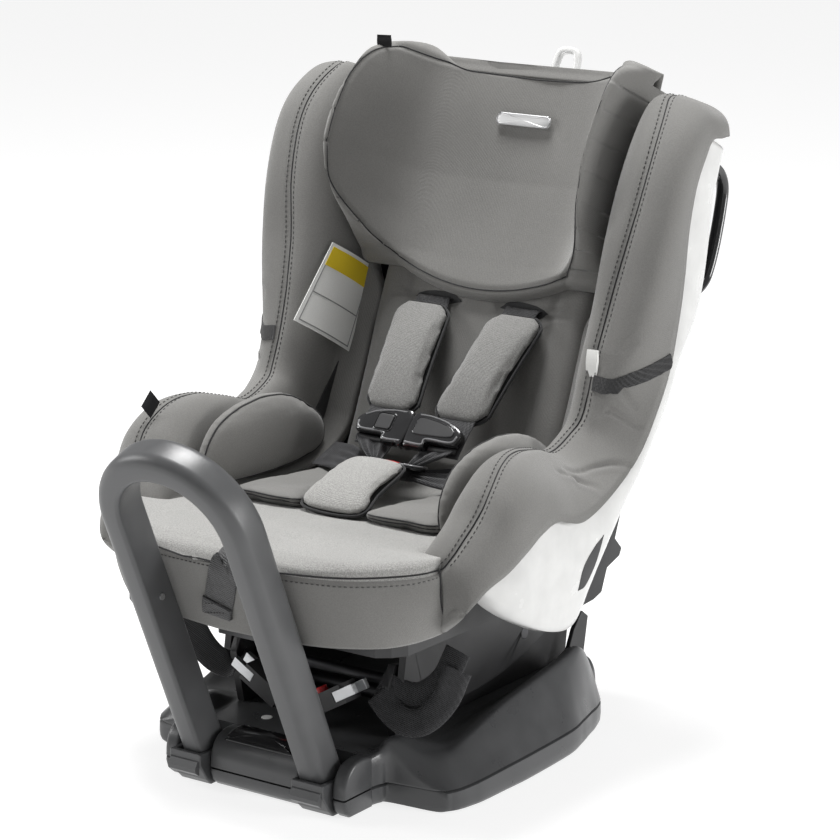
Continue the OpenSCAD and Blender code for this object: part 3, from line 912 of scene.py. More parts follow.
def headrest_seams(slices):
    """Paths of the seams round the front face, by name."""
    half = len(slices[0]) // 2
    paths = {}
    for side, sign in SIGN.items():
        column = half + sign * (HEADREST_FRONT_POINTS - 1)
        paths["headrest_ear_seam_" + side] = np.array([on_back(*row[column]) for row in slices])
    edge = range(half - HEADREST_FRONT_POINTS + 1, half + HEADREST_FRONT_POINTS)
    paths["headrest_lower_seam"] = np.array([on_back(*slices[0][k]) for k in edge])
    paths["headrest_top_seam"] = np.array([on_back(*slices[-1][k]) for k in edge])
    return paths


def add_headrest():
    slices = [headrest_slice(share) for share in np.linspace(0, 1, HEADREST_LEVELS)]
    rows = headrest_rows(slices)
    placed = [[on_back(*point) for point in row] for row in rows]
    headrest = loft("headrest_cover", placed, ["cover"])
    heights = np.array([[point[2] for point in row] for row in rows]).ravel()
    smooth_where(headrest, (heights > 396) | (heights < 208), 8)
    ripple(headrest, 80, 1.4, 5.0)
    paths = headrest_seams(slices)
    for path in paths.values():
        press(headrest, path, 6.0, 1.5)
    replaced = ["headrest_cushion", "headrest_wings", "headrest_board"]
    finish_piece(headrest, "headrest", replaced)
    for name, path in paths.items():
        line = relax(on_surface(headrest, path, 0.15), 4)
        add_tube(name, line, 0.75, "thread", "headrest")
    return headrest


def dip_back(row):
    """A slice with its back lowered near the headrest's top, between the ears."""
    middle = np.clip((115 - np.abs(row[:, 0])) / 45, 0.0, 1.0)
    behind = np.clip((row[:, 1] + 12) / 16, 0.0, 1.0)
    high = np.clip((row[:, 2] - 376) / 30, 0.0, 1.0)
    row[:, 2] -= 13 * middle * behind * high
    return row


def close_end(row, rise, angle):
    """A slice drawn in towards the middle of its thickness and raised, to round off an end."""
    turn = math.radians(angle)
    inward, lift = 1 - math.cos(turn), math.sin(turn)
    middle = np.stack([row[:, 0] * (1 - 0.05 * inward), np.full(len(row), HEADREST_BACK - 9.0), row[:, 2]], 1)
    closed = row + (middle - row) * inward * 0.92
    closed[:, 2] += rise * lift
    return closed


# ------------------------------------------------------------------ pads

def rounded_outline(width, height, radius, count=72):
    """Rounded rectangle about the origin, as evenly spaced points."""
    corners = []
    for cx, cy, start in ((1, 1, 0), (-1, 1, 90), (-1, -1, 180), (1, -1, 270)):
        for angle in np.radians(np.linspace(start, start + 90, 7)):
            corners.append((cx * (width / 2 - radius) + radius * math.cos(angle),
                            cy * (height / 2 - radius) + radius * math.sin(angle)))
    return spline(corners, count, closed=True)


STRAP_FOOT = (28, 293)
STRAP_LEAN = math.radians(43.6)


def on_straps(x, n, z):
    """Frame of the shoulder straps: n in front of them, z up along them."""
    s, c = math.sin(STRAP_LEAN), math.cos(STRAP_LEAN)
    return vec(x, STRAP_FOOT[0] + z * s - n * c, STRAP_FOOT[1] + z * c + n * s)


PAD_SIZE = (60, 124)
PAD_X = 47
PAD_MIDDLE = 75
PAD_SPREAD = 0.13


def add_shoulder_pad(side):
    sign = SIGN[side]
    outline = rounded_outline(*PAD_SIZE, 17)

    def place(u, v, w):
        bend = 5 * ((v / PAD_SIZE[1]) * 2) ** 2
        return on_straps(sign * (PAD_X + PAD_SPREAD * v) + u, w + 3.5 - bend * 0.5, PAD_MIDDLE + v)

    def under(u, v, w):
        return place(u * 0.97, v * 0.98, w - 7.5)

    # Shoulder pads in the darker copy of the jersey, a painted shade
    pad = pillow("shoulder_pad_cover_" + side, outline, 13, place, ["shaded_pad_jersey"])
    inflate(pad, 3.5, 4.0, 3.0)
    lining = pillow("shoulder_pad_lining_" + side, outline, 7, under, ["lining"])
    finish_piece(pad, "headrest", ["shoulder_pad_" + side])
    finish_piece(lining, "headrest", [])
    rim = [place(u, v, -3.2) for u, v in outline * 1.01]
    add_tube("shoulder_pad_piping_" + side, relax(np.array(rim), 1), 1.3, "thread", "headrest", closed=True)


def add_crotch_pad():
    outline = spline([(-31, -44), (31, -44), (33, -10), (31, 30), (20, 43), (-20, 43), (-31, 30), (-33, -10)],
                     64, closed=True)
    foot, head = vec(0, -108, 247), vec(0, -30, 273)
    along = (head - foot) / np.linalg.norm(head - foot)
    normal = vec(0, -along[2], along[1])
    middle = (foot + head) / 2

    def place(u, v, w):
        return middle + vec(u, 0, 0) + along * v + normal * (w + 3 * math.cos(v / 28))

    def under(u, v, w):
        return place(u * 0.97, v * 0.97, w - 6.5)

    pad = pillow("crotch_pad_cover", outline, 13, place, ["jersey"])
    inflate(pad, 3.5, 4.0, 3.0)
    finish_piece(pad, "seat", ["crotch_pad"])
    lining = pillow("crotch_pad_lining", outline, 6, under, ["lining"])
    finish_piece(lining, "seat", [])
    rim = np.array([place(u, v, -2.6) for u, v in outline * 1.01])
    add_tube("crotch_pad_piping", rim, 1.3, "thread", "seat", closed=True)


INSERT_OUTLINE = [(38, -104), (46, -115), (80, -117), (112, -112), (117, -90), (117, 20), (108, 50), (70, 52),
                  (44, 30), (36, 0), (34, -60)]


def add_insert(side):
    outline = spline(INSERT_OUTLINE, 96, closed=True)

    def place(u, v, w):
        return on_side(vec(u, v, seat_height(v) + 7.0 + w), side)

    pad = pillow("seat_insert_cover_" + side, outline, 15, place, ["cover"], square=3.2)
    inflate(pad, 4.0, 3.0, 3.0)
    finish_piece(pad, "seat", ["insert_" + side])
    for name, level in (("upper", 2.5), ("lower", -2.5)):
        rim = on_surface(pad, [place(u, v, level) for u, v in outline], 0.2)
        add_tube("seat_insert_piping_" + name + "_" + side, relax(rim, 2), 0.8, "thread", "seat", closed=True)


HIP_OUTLINE = [(-131, 260), (-127, 282), (-108, 304), (-76, 316), (-36, 320), (2, 314), (34, 299), (60, 276),
               (58, 252), (20, 243), (-50, 242), (-118, 247)]


def add_hip_bolster(side):
    outline = spline(HIP_OUTLINE, 110, closed=True)

    def place(v, u, w):
        return on_side(vec(138 - w, v, u), side)

    pad = pillow("hip_bolster_cover_" + side, outline, 29, place, ["cover"], square=2.4)
    inflate(pad, 4.5, 5.0, 4.0)
    finish_piece(pad, "seat", ["hip_bolster_" + side])
    rim = on_surface(pad, [place(v, u, 5.5) for v, u in outline], 0.2)
    add_tube("hip_bolster_piping_" + side, relax(rim, 3), 0.9, "thread", "seat", closed=True)


BACK_PANEL_HALF_WIDTH = 122
BACK_PANEL_DEPTH = 13.4
# Creases that run out from a strap slot, and the slot's upper and lower edges, as [x, height along the back]
SLOT_CREASES = [((78, 167), (108, 166)), ((26, 171), (8, 178)), ((76, 170), (96, 178))]
SLOT_EDGES = [[(24, 170), (38, 175.5), (60, 175), (78, 168)], [(24, 170), (38, 166), (60, 163), (78, 168)]]


def back_panel_row(u):
    """Section of the back panel at a height along the back, rounded off at its sides and lower end."""
    edge = min(1.0, max(0.0, (u + 2) / 12)) ** 0.5
    swell = -3.0 * max(0.0, math.sin(math.pi * np.clip((u - 5) / 175, 0, 1))) ** 0.6
    half = []
    for x in np.linspace(0, 1, 50) * BACK_PANEL_HALF_WIDTH:
        inset = (BACK_PANEL_HALF_WIDTH - x) / 16
        round_off = 1 - math.sqrt(max(0.0, 1 - (1 - min(inset, 1)) ** 2))
        channel = 2.5 * math.exp(-((x - 84) / 5) ** 2)
        depth = 1.5 + swell * (1 - (x / BACK_PANEL_HALF_WIDTH) ** 2) + channel + 11.5 * round_off
        half.append((x, BACK_PANEL_DEPTH - (BACK_PANEL_DEPTH - depth) * edge, u))
    half = np.array(half)
    back = np.array([(x, 13.6, u) for x in (BACK_PANEL_HALF_WIDTH, 0, -BACK_PANEL_HALF_WIDTH)])
    left = half[::-1][:-1] * vec(-1, 1, 1)
    return [on_back(*point) for point in np.vstack([left, half, back])]


def press_slots(panel):
    """Sinks the panel round the two strap slots, with short creases running out from their ends."""
    slot_line = list(zip(np.linspace(26, 78, 20), np.linspace(170, 167, 20)))
    for sign in SIGN.values():
        press(panel, np.array([on_back(sign * x, 0, u) for x, u in slot_line]), 9, 3.5)
        for start, end in SLOT_CREASES:
            guide = [on_back(sign * x, 0, u) for x, u in (start, end)]
            crease(panel, spline(guide, 14), 2.4, 2.2)


def add_back_panel():
    """Pad behind the harness, pressed round the strap slots; the patches over the slots move with the
    headrest.
    """
    heights = np.concatenate([np.linspace(-2, 8, 6), np.linspace(10, 196, 90), np.linspace(197, 202, 3)])
    panel = loft("back_panel_cover", [back_panel_row(u) for u in heights], ["cover"])
    ripple(panel, 50, 1.2, 2.0)
    press_slots(panel)
    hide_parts("back_pad", "headrest_slot_pad", "back_foam")
    on_back(0, 0, 70) * MM
    on_back(0, 0, 150) * MM
    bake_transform(panel)
    for side, sign in SIGN.items():
        # Dark lining patch over each strap slot: painted shade of the slot's opening
        edges = [spline(edge, 24) for edge in SLOT_EDGES]
        upper, lower = (np.array([on_back(sign * x, -1, u) for x, u in edge]) for edge in edges)
        slot = patch("strap_slot_shade_" + side, panel, upper, lower, "lining", 0.5, 0.9)
        finish_piece(slot, "headrest")


# ------------------------------------------------------------------ harness

STRAP_WIDTH = 38
STRAP_THICK = 1.6
# Shoulder strap below its pad, as [x, in front of the straps' line, up along it]
SHOULDER_STRAP = [(41, 1.2, -26), (41, 1.2, -5), (42, 1.0, 14), (43, 0.8, 40)]


def fan(name, top, foot, side, top_width, foot_width, folds, body, bow=(0, 0, 0)):
    """Webbing gathered into folds: wide at the top, drawn together at the foot."""
    top, foot, side, bow = vec(*top), vec(*foot), vec(*side), vec(*bow)
    side /= np.linalg.norm(side)
    normal = np.cross(foot - top, side)
    normal /= np.linalg.norm(normal)
    rows = []
    across = np.linspace(-0.5, 0.5, 41)
    for t in np.linspace(0, 1, 40):
        width = top_width + (foot_width - top_width) * smooth_step(t)
        depth = (2.6 - 1.4 * t) * min(1, t * 3)
        middle = top + (foot - top) * t + bow * math.sin(math.pi * t)
        upper = [middle + side * a * width + normal * (depth * math.sin(folds * math.pi * (a + 0.5)) + 0.8)
                 for a in across]
        lower = [point - normal * STRAP_THICK for point in upper[::-1]]
        rows.append(upper + lower)
    return finish_piece(loft(name, rows, ["webbing"], sharp=70), body)


def strap_path(points, count=60):
    return spline([vec(*point) for point in points], count)


def add_straps(side):
    sign = SIGN[side]
    across = (sign, 0, 0)
    upper = [on_straps(sign * x, n, z) for x, n, z in SHOULDER_STRAP]
    piece = ribbon("shoulder_webbing_" + side, strap_path(upper), across, STRAP_WIDTH, STRAP_THICK, "webbing")
    finish_piece(piece, "seat", once(side, "shoulder_straps"))
    rise = [on_straps(sign * 48, 2, 112), on_straps(sign * 50, -3, 134), on_back(sign * 52, -2, 168.5),
            on_back(sign * 52, 6, 170), on_back(sign * 52, 12, 169.5)]
    piece = ribbon("slot_webbing_" + side, strap_path(rise), across, STRAP_WIDTH, STRAP_THICK, "webbing")
    finish_piece(piece, "headrest", once(side, "upper_straps"))
    top, foot = on_straps(sign * 38, 3, -20), (sign * 17, -14, 262)
    fan("folded_webbing_" + side, top, foot, (sign, -0.15, 0.1), STRAP_WIDTH, 9, 5, "seat", (0, -3, 0))
    add_lap_strap(side, sign)


def add_lap_strap(side, sign):
    """Lap strap from the buckle out to the hip, gathered into folds at the buckle."""
    lap = [(sign * 17, -12, 259), (sign * 40, -8, 259), (sign * 75, 10, 258), (sign * 112, 30, 252)]
    path = strap_path(lap, 50)
    rows = []
    for k, point in enumerate(path):
        t = k / (len(path) - 1)
        width = 12 + 26 * smooth_step(t * 1.8)
        folds = (1 - smooth_step(t * 1.1)) * 2.4
        line = [point + vec(0, a * width, 0.35 * a * width + folds * math.sin(7 * math.pi * (a + 0.5)))
                for a in np.linspace(-0.5, 0.5, 33)]
        rows.append(line + [p - vec(0, 0, STRAP_THICK) for p in line[::-1]])
    piece = loft("lap_webbing_" + side, rows, ["webbing"], sharp=70)
    finish_piece(piece, "seat", once(side, "lap_straps"))


# One half of the chest clip, drawn from the middle outwards as [x, z] along the straps
CLIP_HALF = [(1, 9.5), (20, 9.5), (42, 6), (56, 0), (60, -6), (58, -15), (54, -18), (26, -18.5), (24, -25),
             (8, -25.5), (1, -24)]
CLIP_RIDGE = [(8, 8.2), (22, 8), (40, 4.6), (52, -1)]
CLIP_LOWER_EDGE = [(3, -22.5), (22, -22.5), (25, -16), (52, -15.5), (57, -8)]
CLIP_BAR = [(27, -21.5), (42, -21.5), (57, -20.5)]
# Rods of a half: line, level in front of the straps, points, radius and material; the light grey ridge and
# lower edge rods are a painted highlight
CLIP_RODS = [
    ("ridge", CLIP_RIDGE, 13.2, 40, 0.9, "painted_highlight_plastic"),
    ("lower_edge", CLIP_LOWER_EDGE, 12.6, 60, 1.3, "painted_highlight_plastic"),
    ("bar", CLIP_BAR, 4, 20, 3.2, "dark"),
]
CLIP_KEY_MIDDLE = (27.5, -5.5)
CLIP_RECESS = [(9, 5), (24, 4.5), (42, 1), (51, -4), (50, -10), (30, -12), (9, -12), (7, -4)]


def clip_plate(name, outline, level, thick, sign, material, body, replaced=()):
    """Flat plate of the chest clip at a level in front of the straps; returns its outline and its placing."""
    points = spline(outline, 90, closed=True)

    def place(u, v, w):
        return on_straps(sign * u, level + w, v)

    plate = pillow(name, points, thick, place, [material], 12, 7.0)
    finish_piece(plate, body, replaced)
    return points, place


def add_chest_clip():
    for side, sign in SIGN.items():
        clip_plate("chest_clip_half_" + side, CLIP_HALF, 7.4, 12.4, sign, "black_gloss", "chest_clip",
                   once(side, "chest_clip"))
        for part, line, level, count, radius, material in CLIP_RODS:
            path = spline([on_straps(sign * x, level, z) for x, z in line], count)
            add_tube("chest_clip_" + part + "_" + side, path, radius, material, "chest_clip")
    points, place = clip_plate("chest_clip_recess", CLIP_RECESS, 13.2, 1.6, 1, "dark", "chest_clip")
    rim = np.array([place(u, v, 0.6) for u, v in points])
    add_tube("chest_clip_recess_rim", rim, 0.6, "black_gloss", "chest_clip", closed=True)
    key = rounded_outline(17, 16, 2.5) + vec(*CLIP_KEY_MIDDLE)
    clip_plate("chest_clip_key", key, 13.6, 3.0, -1, "dark", "chest_clip_button", ["chest_clip_button"])
    rim = np.array([on_straps(-u, 13.7, v) for u, v in rounded_outline(20, 19, 3) + vec(*CLIP_KEY_MIDDLE)])
    add_tube("chest_clip_key_rim", rim, 0.7, "black_gloss", "chest_clip", closed=True)


def on_buckle(x, y, z):
    lean = math.radians(22)
    s, c = math.sin(lean), math.cos(lean)
    return vec(x, -12 + y * c + z * s, 262 - y * s + z * c)


BUCKLE_OUTLINE = [(-20, -15), (-13, -18), (13, -18), (20, -15), (22, 0), (20, 11), (-20, 11), (-22, 0)]
TONGUE_OUTLINE = [(8, 6), (12, 13), (22, 16), (31, 11), (33, 1), (28, -9), (16, -10), (9, -4)]


def add_buckle():
    outline = spline(BUCKLE_OUTLINE, 90, closed=True)

    def place(u, v, w):
        return on_buckle(u, v, w - 2)

    finish_piece(pillow("buckle_housing", outline, 15, place, ["dark"], 12, 5.0), "seat", ["buckle"])
    key = rounded_outline(20, 10, 3) + vec(0, -5)
    key_piece = pillow("buckle_key", key, 4.4, lambda u, v, w: on_buckle(u, v, 4.6 + w), ["red"], 10, 5.0)
    finish_piece(key_piece, "buckle_button", ["buckle_button"])
    for side, sign in SIGN.items():
        disc = spline(TONGUE_OUTLINE, 70, closed=True)

        def plate(u, v, w):
            return on_buckle(sign * u, v, 3.5 + w + 0.1 * v)

        tongue = pillow("buckle_tongue_" + side, disc, 5, plate, ["black_gloss"], 8, 4.0)
        finish_piece(tongue, "seat", once(side, "buckle_tongues"))
        rim = np.array([plate(u, v, 2.4) for u, v in disc[:-12]])
        # Light grey rim along part of the tongue's edge: painted highlight
        add_tube("buckle_tongue_rim_" + side, rim, 1.0, "painted_highlight_plastic", "seat")


ADJUSTER_TAIL = [(10, -262, 250), (12, -279, 240), (6, -284, 222), (-3, -283, 200), (-12, -278, 180),
                 (-14, -276, 172)]


def add_adjuster_tail(cushion):
    """Free end of the harness adjuster's webbing, over the front of the cushion, with its sewn end."""
    path = relax(on_surface(cushion, strap_path(ADJUSTER_TAIL, 50), 1.6), 4)
    piece = ribbon("adjuster_webbing", path, (1, 0, 0.15), 30, 1.8, "tail")
    finish_piece(piece, "seat", ["strap_tail"])
    end = ribbon("adjuster_webbing_end", path[-9:] + vec(0, -2.0, 0), (1, 0, 0.15), 31, 3.4, "tail")
    finish_piece(end, "seat")
    for name, k in (("upper", -9), ("lower", -3)):
        across = np.linspace(-13, 13, 20)[:, None] * vec(1, 0, 0.15)
        row = path[k] + vec(0, -4.2, 0) + across
        finish_piece(stitches("adjuster_stitches_" + name, row, 3.4, 2.2, 0.5), "seat")


# ------------------------------------------------------------------ trim

# Corners of the label: upper left, upper right, lower right, lower left
LABEL = [vec(-151, 98, 445), vec(-143, 154, 412), vec(-138, 106, 335), vec(-151, 34, 378)]
# Parts of the label: their sides, top and bottom as shares of its size, material and height above it
LABEL_PARTS = [
    ("label_sheet", 0, 1, 0, 1, "label", 0), ("label_header", 0.05, 0.95, 0.04, 0.27, "label_band", 0.4),
    ("label_rule_upper", 0.05, 0.95, 0.60, 0.612, "label_line", 0.4),
    ("label_rule_lower", 0.05, 0.95, 0.955, 0.967, "label_line", 0.4),
    ("label_rule_left", 0.05, 0.062, 0.27, 0.96, "label_line", 0.4),
    ("label_rule_right", 0.938, 0.95, 0.27, 0.96, "label_line", 0.4),
]


def on_label(across, down, lift):
    """A point of the label, which stands off the wing and bends a little across its width."""
    top = LABEL[0] + (LABEL[1] - LABEL[0]) * across
    low = LABEL[3] + (LABEL[2] - LABEL[3]) * across
    normal = np.cross(LABEL[3] - LABEL[0], LABEL[1] - LABEL[0])
    normal /= np.linalg.norm(normal)
    return top + (low - top) * down + normal * (lift + 3 * math.sin(math.pi * across))


def add_label():
    """Blank sewn label with a plain coloured band, on the left wing's inner face."""
    for name, left, right, high, low, material, lift in LABEL_PARTS:
        rows = []
        for down in np.linspace(high, low, 16):
            face = [on_label(across, down, lift + 0.4) for across in np.linspace(left, right, 12)]
            back = [on_label(across, down, lift - 0.4) for across in np.linspace(right, left, 12)]
            rows.append(face + back)
        piece = loft(name, rows, [material], sharp=50)
        finish_piece(piece, "seat", ["seat_trim"] if name == "label_sheet" else [])


def add_tags():
    add_tag("tag_left_bolster", (-201, -138, 319), (5, 8, 15), (9, 3, -11), "seat")
    add_tag("tag_right_wing", (174, 54, 388), (13, -2, 1), (0, -2, -25), "seat", "label")
    add_tag("tag_headrest", tuple(on_back(-143, -64, 398)), (14, 4, 0), (0, -1, 12), "headrest")


def add_badge():
    outline = rounded_outline(64, 12.5, 6.1) + vec(8, 352)

    def place(u, v, w):
        return on_back(u, -8.6 + w, v)

    badge = pillow("headrest_plate", outline, 3.4, place, ["badge"], 10, 3.0)
    finish_piece(badge, "headrest", ["headrest_badge"])
    rim = np.array([on_back(u, -9.6, v) for u, v in rounded_outline(61, 10, 4.9) + vec(8, 352)])
    add_tube("headrest_plate_rim", rim, 0.5, "steel", "headrest", closed=True)


# Outline of the pull handle: half of its outside and of its finger hole, as [x, height]
HANDLE_OUTER = [(18, -2), (17, 14), (14.5, 34), (12, 42), (6, 45.5)]
HANDLE_INNER = [(10.5, 12), (10, 22), (8, 35), (5, 38.5)]
HANDLE_DEPTH = 56
HANDLE_FOOT = 399


def add_handle():
    outer = np.array(HANDLE_OUTER + [(-x, z) for x, z in HANDLE_OUTER[::-1]], float)
    inner = np.array(HANDLE_INNER + [(-x, z) for x, z in HANDLE_INNER[::-1]], float)
    outer, inner = spline(outer, 60), spline(inner, 60)
    inner[0], inner[-1] = (10.5, 12), (-10.5, 12)
    rows = []
    for a, b in zip(outer, inner):
        ring = []
        for angle in np.linspace(0, 2 * math.pi, 16, endpoint=False):
            share = 0.5 - 0.5 * math.copysign(abs(math.cos(angle)) ** 0.5, math.cos(angle))
            depth = 4.3 * math.copysign(abs(math.sin(angle)) ** 0.5, math.sin(angle))
            x, z = a + (b - a) * share
            ring.append(on_back(x, HANDLE_DEPTH + depth, HANDLE_FOOT + z))
        rows.append(ring)
    loop = loft("handle_loop", rows, ["handle"], sharp=50)
    finish_piece(loop, "headrest_handle", ["headrest_handle"])
    foot = rounded_outline(35, 16, 4) + vec(0, 5)

    def place(u, v, w):
        return on_back(u, HANDLE_DEPTH + w, HANDLE_FOOT + v)

    finish_piece(pillow("handle_foot", foot, 8.6, place, ["handle"], 10, 5.0), "headrest_handle")


GRIP_LINE = [(206, 560), (228, 549), (250, 535), (266, 523), (272, 508), (268, 486), (258, 455), (247, 432),
             (236, 420), (212, 411), (180, 402)]


def add_grip(side):
    path = spline([vec(188, y, z) for y, z in GRIP_LINE], 90)
    rows = []
    _, across, normal = across_frames(path, (1, 0, 0))
    for point, a, n in zip(path, across, normal):
        rows.append([point + a * (6.5 * math.cos(t)) + n * (4.6 * math.sin(t))
                     for t in np.linspace(0, 2 * math.pi, 20, endpoint=False)])
    grip = loft("rear_grip_" + side, on_side(rows, side), ["black_gloss"])
    finish_piece(grip, "seat", once(side, "rear_grips"))


def add_plate():
    """Blank gloss plate on the front cap, and a plain round mark behind it."""
    outline = rounded_outline(78, 29, 4) + vec(0, -206)
    line = spline(CAP_UPPER, 80)

    def place(u, v, w):
        return vec(u, v, np.interp(-v, -line[:, 0], line[:, 1]) + 1.0 + w)

    plate = pillow("front_plate", outline, 1.6, place, ["black_gloss"], 8, 6.0)
    finish_piece(plate, "base", ["name_plate"])
    turn = np.linspace(0, 2 * math.pi, 41)[:-1]
    disc = np.array([(-39 + 5.5 * math.cos(t), -158 + 5.5 * math.sin(t)) for t in turn])
    mark = pillow("deck_mark", disc, 0.7, lambda u, v, w: vec(u, v, 48.4 + w), ["label"], 5, 6.0)
    finish_piece(mark, "base")


# Anchor webbing under the seat: from the right connector out over the deck, and a tail on the left
LOOP_RIGHT = [(82, -148, 94), (98, -150, 80), (114, -152, 74), (134, -150, 78), (148, -138, 96),
              (152, -122, 122)]
LOOP_INNER = [(80, -142, 102), (100, -142, 96), (122, -138, 96), (140, -128, 112), (148, -116, 138)]
LOOP_LEFT = [(-76, -142, 96), (-92, -148, 88), (-106, -156, 96), (-116, -166, 118), (-122, -172, 146)]


def add_loops():
    for name, points, side in (("anchor_webbing_right", LOOP_RIGHT, (-0.25, 0.35, 1)),
                               ("anchor_webbing_inner", LOOP_INNER, (-0.25, 0.35, 1)),
                               ("anchor_webbing_left", LOOP_LEFT, (0.5, 0.5, 0.5))):
        piece = ribbon(name, strap_path(points, 70), side, 26, 1.8, "webbing", 0.5)
        finish_piece(piece, "base", ["latch_straps"] if name.endswith("right") else [])


# ------------------------------------------------------------------ hard parts: anti-rebound bar

BAR_LEAN = math.radians(23.2)
BAR_FOOT = (-235, 32)
BAR_REACH = 344
BAR_HALF_WIDTH = 82
BAR_SECTION = (26, 36)
BAR_STUB = 26


def on_bar(x, along, out):
    """Frame of the bar: along its legs from the socket line, out towards the front of its section."""
    s, c = math.sin(BAR_LEAN), math.cos(BAR_LEAN)
    return vec(x, BAR_FOOT[0] - along * s - out * c, BAR_FOOT[1] + along * c - out * s)


def add_bar():
    width, depth = BAR_SECTION
    radius = BAR_HALF_WIDTH - width / 2
    centre = BAR_REACH - BAR_HALF_WIDTH
    legs = np.linspace(-BAR_STUB, centre, 40, endpoint=False)
    spine = [(radius, along, 1.0, 0.0) for along in legs]
    for angle in np.linspace(0, math.pi, 64):
        c, s = math.cos(angle), math.sin(angle)
        spine.append((radius * c, centre + radius * s, c, s))
    spine += [(-radius, along, -1.0, 0.0) for along in legs[::-1]]
    half = width / 2
    outline = []
    for cx, cy, r, start in ((half, 0, 11, 0), (-half, 0, 4, 90), (-half, -depth, 4, 180),
                             (half, -depth, 9, 270)):
        middle = vec(cx - math.copysign(r, cx), cy - r if cy == 0 else cy + r)
        for angle in np.radians(np.linspace(start, start + 90, 7)):
            outline.append(middle + r * vec(math.cos(angle), math.sin(angle)))
    rows = []
    for x, along, nx, ny in spine:
        rows.append([on_bar(x + nx * a, along + ny * a, out) for a, out in outline])
    bar = loft("rebound_bar_tube", rows, ["bar"], sharp=40)
    finish_piece(bar, "rebound_bar", ["rebound_bar"])


# ------------------------------------------------------------------ hard parts: white side shells

# Right shell from its front tip up to its top: its edge under the cover and its lower edge, as [y, z]
SHELL = [
    ((-170, 224), (-162, 214)), ((-150, 235), (-139, 189)), ((-125, 248), (-108, 171)),
    ((-101, 260), (-72, 157)), ((-75, 265), (-45, 153)), ((-49, 254), (-27, 161)),
    ((-32, 252), (-14, 178)), ((-9, 258), (4, 199)),
    ((19, 270), (22, 220)), ((45, 285), (44, 245)), ((71, 304), (68, 268)), ((98, 343), (115, 321)),
    ((115, 375), (141, 366)), ((125, 414), (170, 399)), ((133, 458), (184, 432)), ((136, 490), (193, 470)),
    ((142, 522), (200, 509)), ((155, 555), (210, 538)), ((175, 575), (216, 555)),
]
# Profile across the shell: x, share of the way from the cover to the lower edge, millimetres past it
SHELL_PROFILE = [(215, 0, -9), (221, 0, -3), (225.5, 0.3, 0), (225, 0.7, 0), (221, 1, -3), (214, 1, 0),
                 (206, 1, -2), (202, 0.6, 0), (204, 0, -6)]
SHELL_STATIONS = 170


def add_side_shell(side):
    rows = []
    for station in matched(SHELL, SHELL_STATIONS):
        edge, low = station[0:2], station[2:4]
        tucked = 26 * max(0.0, (-126 - edge[0]) / 44) ** 1.3
        reach = np.linalg.norm(low - edge)
        ahead = (low - edge) / reach
        profile = []
        for x, share, past in SHELL_PROFILE:
            y, z = edge + ahead * (share * reach + past)
            profile.append((x - tucked, y, z))
        rows.append(spline(profile, 44, closed=True))
    shell = loft("side_shell_gloss_" + side, on_side(rows, side), ["white_gloss"])
    finish_piece(shell, "seat", ["side_shell_" + side])
    upper = spline([(230, -38, 188), (230, -30, 208), (230, -14, 222), (230, 4, 231)], 30)
    lower = spline([(230, -38, 188), (230, -24, 190), (230, -8, 206), (230, 4, 231)], 30)
    mark = patch("shell_inlay_" + side, shell, on_side(upper, side), on_side(lower, side), "dark", 0.4, 0.8)
    finish_piece(mark, "seat")


# ------------------------------------------------------------------ hard parts: base

# Stations of the base from the front to the rear: y, then its section on the right as x and z of the deck's
# edge, the rise, the inner slope, the ridge, the shoulder and the foot of the side wall
BASE = [
    (-188, (90, 48), (97, 47.5), (100, 46), (101.5, 43), (102.5, 37), (103, 20)),
    (-176, (90, 48), (98, 49), (102, 49), (104, 46), (105.5, 38), (106, 20)),
    (-168, (92, 48), (99, 53), (104, 55), (108, 51), (111, 40), (113, 20)),
    (-163, (92, 48), (100, 57), (106, 59), (114, 54), (134, 34), (160, 21)),
    (-156, (93, 48), (101, 58), (108, 60), (120, 55), (147, 38), (170, 22)),
    (-146, (94, 48), (102, 56), (112, 58), (130, 51), (152, 43), (175, 23)),
    (-132, (96, 48), (106, 52), (120, 52), (140, 48), (154, 45), (178, 24)),
    (-118, (100, 48), (112, 49), (130, 49), (147, 51), (156, 47), (180, 25)),
    (-85, (104, 48), (118, 50), (136, 56), (149, 60), (157, 55), (181, 26)),
    (-45, (106, 48), (120, 52), (138, 64), (149, 69), (157, 63), (182, 27)),
    (27, (106, 48), (120, 54), (138, 74), (149, 80), (157, 73), (179, 27)),
    (60, (106, 48), (119, 54), (137, 78), (148, 85), (156, 78), (172, 27)),
    (84, (106, 48), (118, 54), (133, 80), (144, 87), (152, 80), (165, 26)),
    (105, (106, 48), (116, 52), (128, 70), (139, 77), (147, 69), (159, 25)),
    (126, (106, 48), (112, 50), (120, 52), (130, 53), (139, 48), (149, 24)),
    (139, (104, 46), (110, 44), (116, 38), (123, 33), (129, 28), (133, 22)),
    (152, (100, 46), (106, 44), (110, 40), (113, 35), (115, 29), (117, 22)),
    (176, (96, 46), (102, 44), (106, 41), (109, 36), (111, 30), (112, 20)),
]
BASE_STATIONS = 260
BASE_GROOVE = 1.4


def base_section(station):
    """Right half of a base section, from the middle of the deck down to the foot of its side wall."""
    y, points = station[0], station[1:].reshape(-1, 2)
    deck = [(x, points[0][1]) for x in np.linspace(0, points[0][0] - 6, 8)]
    curve = spline(np.vstack([points[0] - vec(5, 0), points]), 46)
    return y, np.vstack([deck, curve])


